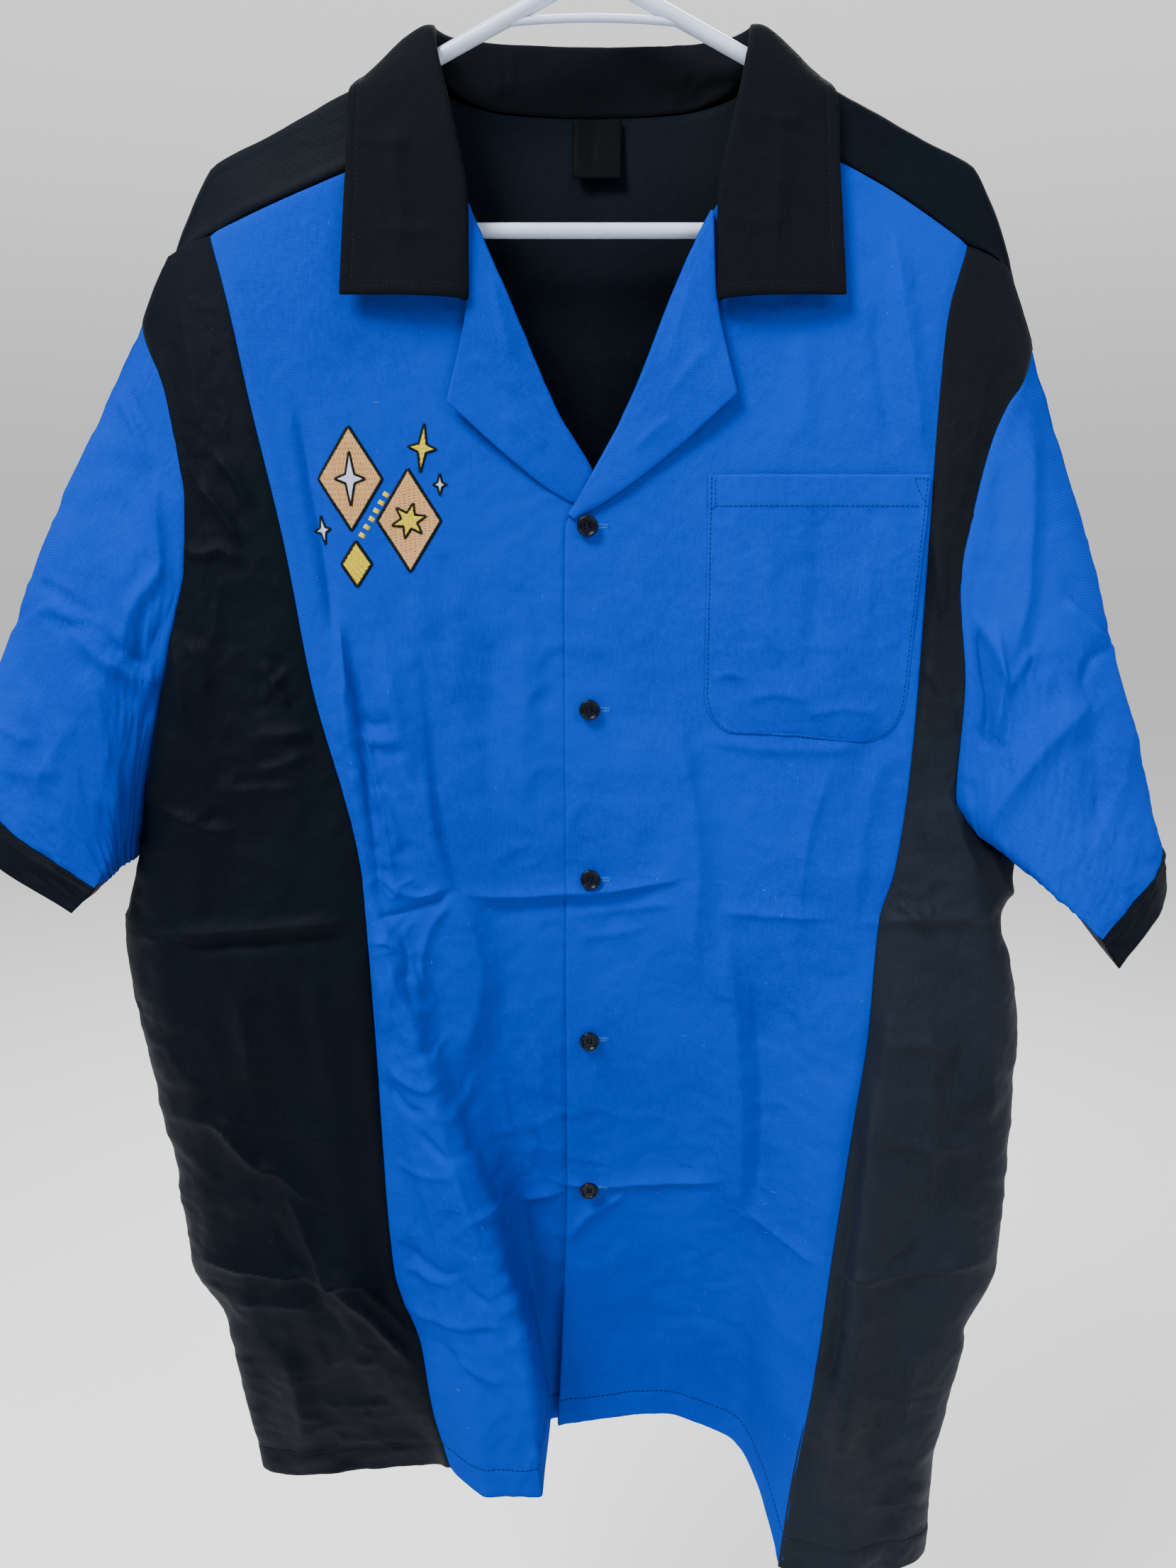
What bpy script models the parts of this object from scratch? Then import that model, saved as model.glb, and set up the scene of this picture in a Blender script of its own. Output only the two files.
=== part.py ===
"""Bowling shirt on a plastic hanger.

A short-sleeved two-colour camp-collar shirt, buttoned, hanging from a tubular
hanger.  +Z is up, the front faces -Y and the wearer's left is +X.  The origin
is the inside top of the hanger's hook, where a rail would carry it.

Every cloth piece is an open surface worked out from its seam lines, with a
Solidify wall.  A seam line is a short table: z (height), x (across), y (depth),
in millimetres.  Neighbouring pieces share a seam line and stop short of it.
"""
import bpy
import bmesh
import math
import numpy as np
from mathutils import Matrix, Vector

MM = 0.001
WALL = 1.0              # cloth wall
SEAM = 0.3              # each piece stops this far from its seam line
FLANK_SEAM = 0.8        # the flanks meet their neighbours at an angle and stop sooner
LIFT = 1.6              # between the middles of two layers that lie on each other

# ---- driving sizes -------------------------------------------------------
TUBE_R = 4.0            # hanger tube
APEX_Z = -76.0          # where the two arms meet
ARM_SLOPE = 0.50        # fall of an arm for each mm outward
BAR_Z = -200.0          # bottom bar
HANGER_HALF = 201.0     # centre line's reach to each side
END_R = 14.5            # bend at each end of the hanger
HOOK_R = 23.5           # hook's centre-line radius
HOOK_TUBE_R = 3.5
BUTTON_R = 5.8
BUTTON_T = 2.6
BUTTON_PITCH = 101.5
FIRST_BUTTON_Z = -355.5
BUTTON_X = -2.0
CUFF_BAND = 20.0
SLEEVE_GAP = 1.2        # sleeve stops this far from the armhole line

BLUE = (0.004, 0.115, 0.55, 1)
BLACK = (0.010, 0.011, 0.014, 1)
WHITE = (0.80, 0.80, 0.82, 1)
HORN = (0.006, 0.006, 0.008, 1)

# ---- seam lines: z, x, y --------------------------------------------------
# princess seams, from the forward shoulder seam to the hem
PRINCESS_R = [(-205, -202, -13), (-238, -193, -20), (-288, -183, -25), (-365, -167, -30),
              (-438, -156, -32), (-552, -131, -38), (-648, -128, -34), (-725, -127, -30),
              (-809, -124, -28), (-864, -109, -26), (-912, -103, -26), (-959, -93, -22)]
PRINCESS_L = [(-210, 198, -13), (-250, 187, -22), (-297, 184, -26), (-385, 182, -30),
              (-487, 178, -36), (-546, 172, -38), (-576, 164, -40), (-644, 161, -42),
              (-698, 154, -47), (-778, 144, -54), (-863, 134, -62), (-934, 122, -70),
              (-982, 116, -76)]
# armhole, front half, down to the underarm, then the side seam to the hem
SIDE_R = [(-249, -247, 4), (-276, -236, -12), (-314, -226, -20), (-346, -222, -25),
          (-381, -224, -26), (-406, -231, -26), (-439, -239, -25), (-498, -255, -18),
          (-545, -267, -4), (-600, -282, 0), (-635, -279, 0), (-743, -263, 2),
          (-821, -256, 4), (-856, -241, 5), (-923, -231, 8), (-985, -226, 12)]
SIDE_L = [(-262, 242, 4), (-286, 232, -12), (-314, 218, -22), (-353, 208, -28),
          (-389, 202, -32), (-445, 206, -36), (-506, 204, -35), (-530, 222, -25),
          (-549, 250, -4), (-583, 242, -8), (-604, 249, -8), (-645, 257, -10),
          (-687, 256, -13), (-775, 252, -24), (-801, 251, -28), (-842, 229, -34),
          (-885, 222, -40), (-929, 215, -44), (-992, 213, -48)]
UNDERARM_R = -545
UNDERARM_L = -549
# armhole, back half, same ends
ARM_BACK_R = [(-249, -247, 4), (-273, -239, 14.5), (-310, -232, 22), (-370, -228, 28),
              (-450, -240, 25), (-520, -259, 12), (-545, -267, -4)]
ARM_BACK_L = [(-262, 242, 4), (-275.2, 236, 13), (-320, 228, 22), (-380, 220, 27),
              (-450, 226, 25), (-520, 243, 13), (-549, 250, -4)]
# front edges: neck, roll line of the lapel, then the buttoned edge
EDGE_L = [(-158, 90, -9), (-192, 64, -14), (-294, 20, -21), (-324, 3, -23.5),
          (-341, -6, -24), (-356, -13, -24.5), (-455, -13, -26), (-554, -13, -26),
          (-656, -13, -23), (-754, -14, -12), (-850, -18, -2), (-952, -23, 8)]
EDGE_R = [(-158, -90, -9), (-185, -68, -13), (-209, -58, -15), (-294, -21, -18.5),
          (-330, 1, -18.7), (-356, 12, -19.5), (-455, 14, -23), (-554, 14, -23),
          (-656, 14, -20), (-754, 14, -8), (-850, 14, 5), (-952, 12, 18)]
# lines inside the panels, where the cloth stands forward or falls back
RECESS_R = [(-168, -113, -11), (-250, -80, -19), (-356, -42, -24), (-455, -40, -26),
            (-560, -44, -27), (-650, -50, -20), (-760, -42, -8), (-880, -35, 6),
            (-953, -31, 15)]
RIDGE_R = [(-181, -146, -12), (-250, -150, -23), (-356, -139, -28), (-434, -132, -30),
           (-552, -116, -38), (-632, -108, -38), (-684, -93, -39), (-739, -74, -41),
           (-801, -57, -44), (-864, -42, -46), (-956, -33, -48)]
SHOULDER_R = [(-193, -175, -13), (-250, -170, -22), (-365, -153, -29), (-552, -124, -39),
              (-640, -118, -38), (-708, -106, -38), (-801, -90, -39), (-864, -76, -43),
              (-958, -64, -47)]
INNER_L = [(-166, 120, -11), (-250, 96, -20), (-356, 44, -26), (-455, 44, -28),
           (-560, 44, -27), (-656, 44, -22), (-754, 44, -10), (-850, 44, 4), (-951, 44, 18)]
MIDDLE_L = [(-180, 150, -12), (-250, 140, -22), (-356, 98, -28), (-455, 94, -31),
            (-560, 94, -32), (-656, 94, -26), (-754, 96, -20), (-850, 97, -9), (-957, 96, 1)]
OUTER_L = [(-195, 175, -13), (-250, 168, -23), (-356, 142, -29), (-455, 140, -33),
           (-560, 136, -37), (-656, 132, -38), (-754, 124, -40), (-850, 115, -38),
           (-964, 108, -30)]
QUARTER_R = [(-208, -212, -11), (-300, -200, -25), (-450, -183, -35), (-600, -172, -40),
             (-750, -165, -35), (-810, -155, -38), (-864, -136, -32), (-968, -112, -10)]
HALF_R = [(-214, -227, -5), (-300, -211, -24), (-450, -212, -35), (-600, -222, -36),
          (-750, -208, -33), (-864, -188, -24), (-976, -165, -8)]
QUARTER_L = [(-213, 208, -10), (-300, 193, -26), (-450, 184, -36), (-520, 181, -38.5), (-560, 184, -44),
             (-660, 170, -54), (-775, 162, -66), (-860, 152, -74), (-986, 149, -80)]
HALF_L = [(-219, 222, -5), (-300, 206, -24), (-340, 198, -29), (-385, 190, -33), (-450, 190, -36.5),
          (-520, 187, -39.5), (-560, 206, -42),
          (-645, 217, -44), (-775, 208, -56), (-860, 192, -66), (-990, 183, -68)]
# the back, from its top edge to the hem
BACK_Q_R = [(-140, -135, 5), (-200, -135, 16), (-300, -135, 28), (-450, -140, 38),
            (-600, -145, 46), (-750, -140, 52), (-962, -130, 56)]
BACK_C = [(-138, 0, 26), (-200, 0, 22), (-300, 0, 28), (-450, 0, 38),
          (-600, 0, 46), (-750, 0, 52), (-955, 0, 52)]
BACK_Q_L = [(-140, 135, 5), (-200, 135, 16), (-300, 135, 27), (-450, 138, 35),
            (-600, 142, 38), (-750, 138, 36), (-965, 128, 26)]
# neck seam of the back: x, y, z for one side, from the centre to the shoulder top
NECK_BACK = [(0, 26, -138), (45, 22, -137), (74, 14, -132)]
# the fold over the hanger's arm, past the hanger's end, to the armhole
FOLD_END = {-1: (-243.5, 9, -259), 1: (239.5, 8.5, -267.5)}
BEHIND_END = {-1: (-239, 14.5, -273), 1: (236, 13, -275.2)}
ROUND = 5.7             # how far the cloth's middle stands off the tube's middle

# ---- sleeves: ring at the cuff seam and at the cuff's edge; turn, x, y, z ----
# turn 0 is the top of the sleeve, 0.5 the underarm, forward first
CUFF_SEAM_R = [(0.0, -383, 18, -501), (0.24, -336, -28, -524), (0.45, -279, -50, -553),
               (0.54, -289, 4, -558), (0.64, -304, 52, -545), (0.80, -352, 62, -516)]
CUFF_EDGE_R = [(0.0, -395, 19, -518), (0.24, -348, -29, -541), (0.45, -292, -52, -566),
               (0.54, -298, 4, -575), (0.64, -312, 53, -562), (0.80, -364, 63, -533)]
CUFF_SEAM_L = [(0.0, 337, 4, -536), (0.24, 318, -42, -548), (0.43, 275, -80, -572),
               (0.53, 272, -10, -568), (0.64, 272, 46, -556), (0.82, 318, 62, -540)]
CUFF_EDGE_L = [(0.0, 340, 4, -556), (0.24, 323, -43, -567), (0.43, 284, -82, -587),
               (0.53, 277, -10, -588), (0.64, 277, 46, -576), (0.82, 322, 62, -560)]

# ---- collar: one row for each station from the back centre to the front end --
# neck seam x y z, fold x y z, outer edge x y z (for +X; -X is its mirror)
COLLAR = [
    # neck seam            fold                 outer edge
    ((0, 27.5, -136),   (0, 30, -101.5),   (0, 44, -146)),
    ((45, 23.5, -135),  (46, 27, -101.5),  (52, 42, -146)),
    ((72, 14.5, -129),  (76, 17, -101),    (98, 31, -142)),
    ((85.5, 1, -110.5), (82.5, 2, -101),   (122, 8, -127)),
    ((86, -10.5, -126), (79.5, -10.5, -118), (126, -12, -138)),
    ((84, -12.5, -152), (73, -17, -148),   (127, -19, -170)),
    ((71, -17.5, -190), (65, -21.5, -192), (129, -25, -204)),
    ((71, -24, -237),   (65.5, -27, -239), (131, -30.5, -237)),
]
# lapel: roll line x y z and outer edge x y z, top row (gorge) to break point
LAPEL_L = [
    ((63, -18, -196),   (64, -25, -237)),
    ((46, -22, -236),   (68, -28, -255)),
    ((30, -24, -272),   (76, -31, -286)),
    ((14, -25.7, -306), (42, -29, -316)),
    ((1, -26.7, -329),  (12, -28, -338)),
    ((-11.5, -27, -349.5), (-9.5, -27.5, -351)),
]
LAPEL_R = [
    ((-65, -17, -192),  (-65, -24, -238)),
    ((-49, -19.5, -230), (-70, -27, -262)),
    ((-34, -20.5, -264), (-77, -30, -290)),
    ((-18, -21.4, -300), (-44, -27, -319)),
    ((-4, -21.5, -326), (-22, -23.4, -336)),
    ((6, -21.4, -340),  (-3, -21.9, -346)),
]
POCKET = dict(left=62.5, right_top=181.0, right_bottom=172.0, top=-328.0, bottom=-468.0,
              corner=24.0, hem=17.0)
LABEL = dict(width=27.0, height=31.0, x=3.0)


# ---- curves ---------------------------------------------------------------
def slopes(keys, vals):
    """Slopes that keep a curve through the values free of overshoot."""
    h = np.diff(keys)
    d = np.diff(vals, axis=0) / h[:, None]
    m = np.zeros_like(vals)
    m[0], m[-1] = d[0], d[-1]
    for i in range(1, len(keys) - 1):
        a, b = d[i - 1], d[i]
        same = a * b > 0
        w1, w2 = 2 * h[i] + h[i - 1], h[i] + 2 * h[i - 1]
        with np.errstate(divide="ignore", invalid="ignore"):
            hm = (w1 + w2) / (w1 / np.where(same, a, 1) + w2 / np.where(same, b, 1))
        m[i] = np.where(same, hm, 0.0)
    return m


class Curve:
    """Smooth curve through rows of (key, value...)."""
    def __init__(self, keys, vals):
        self.k = np.asarray(keys, float)
        self.v = np.asarray(vals, float)
        self.m = slopes(self.k, self.v)

    def __call__(self, q):
        q = min(max(q, self.k[0]), self.k[-1])
        i = int(min(max(np.searchsorted(self.k, q) - 1, 0), len(self.k) - 2))
        h = self.k[i + 1] - self.k[i]
        u = (q - self.k[i]) / h
        a, b = (1 + 2 * u) * (1 - u) ** 2, u * (1 - u) ** 2
        c, d = u * u * (3 - 2 * u), u * u * (u - 1)
        return a * self.v[i] + b * h * self.m[i] + c * self.v[i + 1] + d * h * self.m[i + 1]


class Line:
    """Seam line keyed by height; called with 0 at its top and 1 at its foot."""
    def __init__(self, rows, top=None, foot=None):
        self.c = Curve([-r[0] for r in rows], [(r[1], r[2]) for r in rows])
        self.top = rows[0][0] if top is None else top
        self.foot = rows[-1][0] if foot is None else foot

    def __call__(self, t):
        z = self.top + (self.foot - self.top) * t
        x, y = self.c(-z)
        return np.array((x, y, z))


def path(points):
    """Smooth curve through points, called with 0..1 by length along it."""
    p = np.asarray(points, float)
    k = np.concatenate(([0], np.cumsum(np.linalg.norm(np.diff(p, axis=0), axis=1))))
    c = Curve(k / k[-1], p)
    return c


def ring(rows):
    """Closed smooth curve through rows of (turn, x, y, z)."""
    keys = [r[0] for r in rows]
    vals = [r[1:] for r in rows]
    n = len(rows)
    k = [keys[i] - 1 for i in range(n)] + keys + [keys[i] + 1 for i in range(n)]
    v = np.array(vals * 3, float)
    k = np.array(k)
    m = np.zeros_like(v)
    m[1:-1] = (v[2:] - v[:-2]) / (k[2:] - k[:-2])[:, None]
    c = Curve(k, v)
    c.m = m
    return c


# ---- panels ---------------------------------------------------------------
def across(lines, keys, s, t, turn=False):
    """Point of a panel: across its lines at s, down them at t."""
    pts = np.array([line(t) for line in lines])
    if turn and s > keys[-2]:
        q = (s - keys[-2]) / (keys[-1] - keys[-2]) * math.pi / 2
        a, b = pts[-2], pts[-1]
        k = (math.sin(q), 1 - math.cos(q), math.sin(q))
        return a + (b - a) * np.array(k)
    if turn:
        keys, pts = keys[:-1], pts[:-1]
        if len(keys) == 2:
            return pts[0] + (pts[1] - pts[0]) * (s - keys[0]) / (keys[1] - keys[0])
    return Curve(keys, pts)(s)


FRONT_L = ([Line(EDGE_L), Line(INNER_L), Line(MIDDLE_L), Line(OUTER_L), Line(PRINCESS_L)],
           [0, 0.28, 0.54, 0.79, 1.0])
FRONT_R = ([Line(EDGE_R), Line(RECESS_R), Line(RIDGE_R), Line(SHOULDER_R), Line(PRINCESS_R)],
           [0, 0.30, 0.62, 0.80, 1.0])
SIDE_PANEL_L = ([Line(PRINCESS_L), Line(QUARTER_L), Line(HALF_L), Line(SIDE_L)], [0, 0.22, 0.62, 1.0])
SIDE_PANEL_R = ([Line(PRINCESS_R), Line(QUARTER_R), Line(HALF_R), Line(SIDE_R)], [0, 0.25, 0.62, 1.0])


def front_l(s, t):
    return across(*FRONT_L, s, t)


def front_r(s, t):
    return across(*FRONT_R, s, t)


def side_l(s, t):
    return across(*SIDE_PANEL_L, s, t, turn=True)


def side_r(s, t):
    return across(*SIDE_PANEL_R, s, t, turn=True)


def arm_top(x):
    """Middle of the cloth where it lies over a hanger arm."""
    return APEX_Z - ARM_SLOPE * abs(x) + ROUND / math.cos(math.atan(ARM_SLOPE))


def end_bend(angle, r):
    """Point round the hanger's end, in x and z, for the +X side."""
    c = HANGER_HALF - END_R
    a = math.radians(angle)
    return c + r * math.cos(a), BAR_Z + END_R + r * math.sin(a)


def fold_line(side):
    """Top fold of the shoulder from the neck to the armhole."""
    pts = [(side * x, 0, arm_top(x)) for x in (88, 120, 150, 178)]
    for angle in (75, 48, 20):
        x, z = end_bend(angle, END_R + ROUND + 1.4)
        pts.append((side * x, 0, z))
    pts += [(side * 226, 4, -214 if side < 0 else -217), FOLD_END[side]]
    return path(pts)


FOLD = {-1: fold_line(-1), 1: fold_line(1)}


def behind(side, s):
    """Line down the far side of the hanger's arm, where the back begins."""
    p = np.array(FOLD[side](s)) + np.array((0, ROUND, -ROUND * 1.1))
    end = np.array(FOLD[side](1.0)) + np.array((0, ROUND, -ROUND * 1.1))
    return p + (np.array(BEHIND_END[side]) - end) * s ** 4


NECK = {s: path([(s * x, y, z) for x, y, z in NECK_BACK] + [tuple(behind(s, 0.0))]) for s in (-1, 1)}


def back_side(side):
    """Outer edge of the back: armhole, then side seam."""
    arm = ARM_BACK_R if side < 0 else ARM_BACK_L
    seam = SIDE_R if side < 0 else SIDE_L
    under = UNDERARM_R if side < 0 else UNDERARM_L
    e = BEHIND_END[side]
    return Line([(e[2], e[0], e[1])] + [r for r in arm if r[0] < e[2] - 6] + [r for r in seam if r[0] < under])


BACK_LINES = [back_side(-1), Line(BACK_Q_R), Line(BACK_C), Line(BACK_Q_L), back_side(1)]
BACK_KEYS = [0, 0.26, 0.5, 0.74, 1.0]
NECK_HALF = 0.165                          # share of the back's top that is neck


def back_top(s):
    side = -1 if s < 0.5 else 1
    d = abs(s - 0.5)
    if d <= NECK_HALF:
        return NECK[side](d / NECK_HALF)
    return behind(side, (d - NECK_HALF) / (0.5 - NECK_HALF))


def back_main(s, t):
    """Back from its top edge (t 0) to the hem (t 1), s 0 at -X, 1 at +X."""
    base = Curve(BACK_KEYS, np.array([line(t) for line in BACK_LINES]))(s)
    edge = abs(s - 0.5) * 2
    q = min(max((edge - 0.62) / 0.38, 0.0), 1.0)
    # the cloth rounds in to the side seam
    base = base + np.array((0, math.sin(math.pi * q) * 9.0 * min(1.0, t * 5), 0))
    top0 = Curve(BACK_KEYS, np.array([line(0.0) for line in BACK_LINES]))(s)
    w = max(0.0, 1 - t / 0.16)
    w = w * w * (3 - 2 * w)
    return base + (back_top(s) - top0) * w


FRONT_SHARE = 0.68                         # share of the forward seam before the princess seam


def forward_seam(side, s):
    """Seam that joins the forward shoulder to the fronts."""
    front, flank = (front_r, side_r) if side < 0 else (front_l, side_l)
    if s <= FRONT_SHARE:
        return front(s / FRONT_SHARE, 0.0)
    return flank((s - FRONT_SHARE) / (1 - FRONT_SHARE), 0.0)


def yoke(side, s, t):
    """Forward shoulder: t -1 behind the arm, 0 on the fold, 1 at the forward seam."""
    top = np.array(FOLD[side](s))
    if t <= 0:
        a = -t * math.pi / 2
        b = behind(side, s) - top
        return top + b * np.array((-t, math.sin(a), 1 - math.cos(a)))
    seam = forward_seam(side, s)
    fade = max(0.0, 1 - (s / 0.9) ** 4)
    turn = top + np.array((0, -ROUND, -ROUND * 1.1)) * fade + (seam - top) * 0.35 * (1 - fade)
    if t < 0.35:
        a = t / 0.35 * math.pi / 2
        return top + (turn - top) * np.array((t / 0.35, math.sin(a), 1 - math.cos(a)))
    return turn + (seam - turn) * (t - 0.35) / 0.65


# ---- sleeves ---------------------------------------------------------------
def armhole(side, turn):
    """Armhole seam: turn 0 at the top, 0.5 at the underarm, front first."""
    turn = turn % 1.0
    front = Line(SIDE_R, foot=UNDERARM_R) if side < 0 else Line(SIDE_L, foot=UNDERARM_L)
    back = Line(ARM_BACK_R) if side < 0 else Line(ARM_BACK_L)
    return front(turn * 2) if turn <= 0.5 else back((1 - turn) * 2)


CUFF = {-1: (ring(CUFF_SEAM_R), ring(CUFF_EDGE_R)), 1: (ring(CUFF_SEAM_L), ring(CUFF_EDGE_L))}


def sleeve(side, turn, w):
    """Sleeve from the armhole (w 0) to the cuff seam (w 1) and band (to 2)."""
    seam, edge = CUFF[side]
    b = seam(turn)
    if w >= 1:
        return b + (edge(turn) - b) * (w - 1)
    a = armhole(side, turn)
    start = SLEEVE_GAP / np.linalg.norm(b - a)
    w = start + (1 - start - 0.001) * w
    p = a + (b - a) * w
    # the cap stands out a little from the straight line between its ends
    puff = math.sin(math.pi * w) * 5.0
    fwd = -math.sin(2 * math.pi * turn)
    cap = 0.5 + 0.5 * math.cos(2 * math.pi * turn)
    # towards the underarm the seam allowance lifts the sleeve off the body
    lift = 1.7 * math.sin(math.pi * turn) ** 2 * (1 - w)
    return p + np.array((side * (puff * cap + lift), (puff + lift) * fwd, 0))


# ---- collar and lapels ------------------------------------------------------
def collar_rows():
    """Stations from the -X end, round the back, to the +X end."""
    one = [[np.array(p, float) for p in row] for row in COLLAR]
    flip = np.array((-1, 1, 1))
    left = [[p * flip for p in row] for row in one[:0:-1]]
    return left + one


COLLAR_ROWS = collar_rows()


N_COLLAR = len(COLLAR_ROWS)
COLLAR_LINES = [Curve(np.linspace(0, 1, N_COLLAR), np.array([r[i] for r in COLLAR_ROWS])) for i in range(3)]
FOLD_AT = 0.4
FOLD_R = 1.5            # half the space between the two layers at the fold


def unit(v):
    return v / np.linalg.norm(v)


def collar(s, c):
    """s 0..1 along the collar; c 0 at the neck seam, 0.4 at the fold, 1 at the edge."""
    neck, fold, edge = (line(s) for line in COLLAR_LINES)
    e = 0.004
    along = unit(COLLAR_LINES[1](min(s + e, 1)) - COLLAR_LINES[1](max(s - e, 0)))
    out, down = unit(edge - fold), unit(neck - fold)
    off = unit(np.cross(along, out))          # from the stand towards the outer leaf
    pts = np.array((neck, fold + down * FOLD_R * 1.3 - off * FOLD_R, fold,
                    fold + out * FOLD_R * 1.3 + off * FOLD_R, edge))
    return Curve([0, 0.34, FOLD_AT, 0.46, 1.0], pts)(c)


def lapel(rows, s, c):
    """s 0 at the gorge, 1 at the break point; c 0 on the roll line, 1 at the edge."""
    k = np.linspace(0, 1, len(rows))
    roll = Curve(k, np.array([r[0] for r in rows]))(s)
    edge = Curve(k, np.array([r[1] for r in rows]))(s)
    belly = np.array((0, -0.8 * math.sin(math.pi * c), 0))
    return roll + (edge - roll) * c + belly


def locate(panel, x, z, s=0.5, t=0.5):
    """The panel's own s and t for a place seen from the front."""
    for _ in range(30):
        p = panel(s, t)
        e = 1e-3
        ds = (panel(s + e, t) - p) / e
        dt = (panel(s, t + e) - p) / e
        det = ds[0] * dt[2] - ds[2] * dt[0]
        fx, fz = x - p[0], z - p[2]
        s = min(max(s + (fx * dt[2] - fz * dt[0]) / det, 0.001), 0.998)
        t = min(max(t + (ds[0] * fz - ds[2] * fx) / det, 0.001), 0.998)
    return s, t


def on_panel(panel, x, z, out):
    """Point at x, z that stands `out` in front of a panel, and its normal."""
    s, t = locate(panel, x, z)
    e = 2e-3
    p = panel(s, t)
    n = np.cross(panel(s + e, t) - p, panel(s, t + e) - p)
    n = n / np.linalg.norm(n)
    if n[1] > 0:
        n = -n
    return p + n * out, n


# ---- mesh helpers -----------------------------------------------------------
def finish(name, bm):
    me = bpy.data.meshes.new(name)
    bm.to_mesh(me)
    bm.free()
    ob = bpy.data.objects.new(name, me)
    PARTS.objects.link(ob)
    return ob


def material(ob, name, colour, rough, metal=0.0):
    m = bpy.data.materials.new(name)
    m.use_nodes = True
    b = m.node_tree.nodes["Principled BSDF"]
    b.inputs["Base Color"].default_value = colour
    b.inputs["Roughness"].default_value = rough
    b.inputs["Metallic"].default_value = metal
    ob.data.materials.clear()
    ob.data.materials.append(m)


def wall(ob, thick=WALL, offset=0.0):
    mod = ob.modifiers.new("Wall", "SOLIDIFY")
    mod.thickness = thick * MM
    mod.offset = offset
    mod.use_even_offset = False
    mod.use_rim = True
    return ob


# rows shared by all the pieces that meet on the side seams and armholes, as
# shares of the back's height; UNDER is the underarm's row
ROWS = [0, 0.055, 0.11, 0.165, 0.22, 0.275, 0.33, 0.357, 0.382, 0.41, 0.45, 0.50, 0.56, 0.62,
        0.69, 0.755, 0.82, 0.885, 0.945, 1.0]
UNDER = 8
# columns of a front and of a flank, shared with the forward shoulder
FRONT_COLS = [0, 0.16, 0.32, 0.48, 0.62, 0.74, 0.84, 0.92, 1.0]
FLANK_COLS = [0, 0.2, 0.4, 0.6, 0.8, 1.0]


def side_line(side):
    return Line(SIDE_R) if side < 0 else Line(SIDE_L)


def front_rows(side):
    """The fronts' rows that meet the back's rows on the side line."""
    line, top = side_line(side), BEHIND_END[side][2]
    zs = [top + (line.foot - top) * r for r in ROWS]
    return [0.0] + [(z - line.top) / (line.foot - line.top) for z in zs]


def pulled(cols, length, gap=SEAM):
    """Columns with both ends pulled in by the seam gap."""
    e = gap / length
    return [e + (1 - 2 * e) * c for c in cols]


def add_grid(bm, us, vs, point):
    """A grid primitive whose vertices are moved on to a piece's surface."""
    made = bmesh.ops.create_grid(bm, x_segments=len(us) - 1, y_segments=len(vs) - 1, size=0.5)["verts"]
    for v in made:
        i = round((v.co.x + 0.5) * (len(us) - 1))
        j = round((0.5 - v.co.y) * (len(vs) - 1))
        v.co = Vector(point(us[i], vs[j])) * MM


def sheet(name, us, vs, point, colour, offset=0.0, outward=None, extra=None):
    bm = bmesh.new()
    add_grid(bm, us, vs, point)
    if extra:
        extra(bm)
    bmesh.ops.remove_doubles(bm, verts=bm.verts, dist=0.00002)
    bmesh.ops.recalc_face_normals(bm, faces=bm.faces)
    if outward is not None:
        c = Vector(outward) * MM
        lean = sum((f.calc_center_median() - c).dot(f.normal) * f.calc_area() for f in bm.faces)
        if lean < 0:
            bmesh.ops.reverse_faces(bm, faces=bm.faces)
    ob = wall(finish(name, bm), WALL, offset)
    material(ob, name + "_cloth", colour, 0.75)
    for p in ob.data.polygons:
        p.use_smooth = True
    return ob


def steps(a, b, n):
    return [a + (b - a) * i / n for i in range(n + 1)]


def clear():
    for ob in list(bpy.data.objects):
        bpy.data.objects.remove(ob, do_unlink=True)


clear()
PARTS = bpy.data.collections.new("bowling_shirt")
bpy.context.scene.collection.children.link(PARTS)

# ---- fronts and flanks --------------------------------------------------------
for side, tag, front, flank in ((-1, "right", front_r, side_r), (1, "left", front_l, side_l)):
    rows = pulled(front_rows(side), 760)
    behind_it = (0, 400, -600)
    sheet("front_" + tag, pulled(FRONT_COLS, 130), rows, front, BLUE, 1.0, behind_it)
    sheet("side_panel_" + tag, pulled(FLANK_COLS, 90, FLANK_SEAM), rows, flank, BLACK, 1.0, behind_it)


# ---- back, cut in one with the forward shoulders ------------------------------
def shoulder_shares():
    """Shares of the shoulder's length that meet the front's and flank's columns."""
    front = [FRONT_SHARE * c for c in pulled(FRONT_COLS, 130)[:-1]]
    flank = [FRONT_SHARE + (1 - FRONT_SHARE) * c for c in pulled(FLANK_COLS, 90, FLANK_SEAM)]
    return [0.0] + front[1:] + [FRONT_SHARE] + flank[1:-1] + [1 - 2 * SEAM / 220]


def back():
    share = shoulder_shares()
    arm = 0.5 - NECK_HALF
    left = [arm * (1 - q) for q in reversed(share)]
    right = [1 - u for u in reversed(left)]
    neck = steps(left[-1], right[0], 8)
    us = left + neck[1:-1] + right
    vs = pulled(ROWS, 760)
    vs[0] = 0.0
    ts = [-1, -0.5, 0, 0.175, 0.35, 0.66, 1 - 2 * SEAM / 45]

    def shoulders(bm):
        for side, cols in ((-1, left), (1, right)):
            add_grid(bm, cols, ts, lambda u, t, k=side: yoke(k, (abs(u - 0.5) - NECK_HALF) / arm, t))

    sheet("back", us, vs, back_main, BLACK, 1.0, (0, -400, -600), shoulders)


back()


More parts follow.
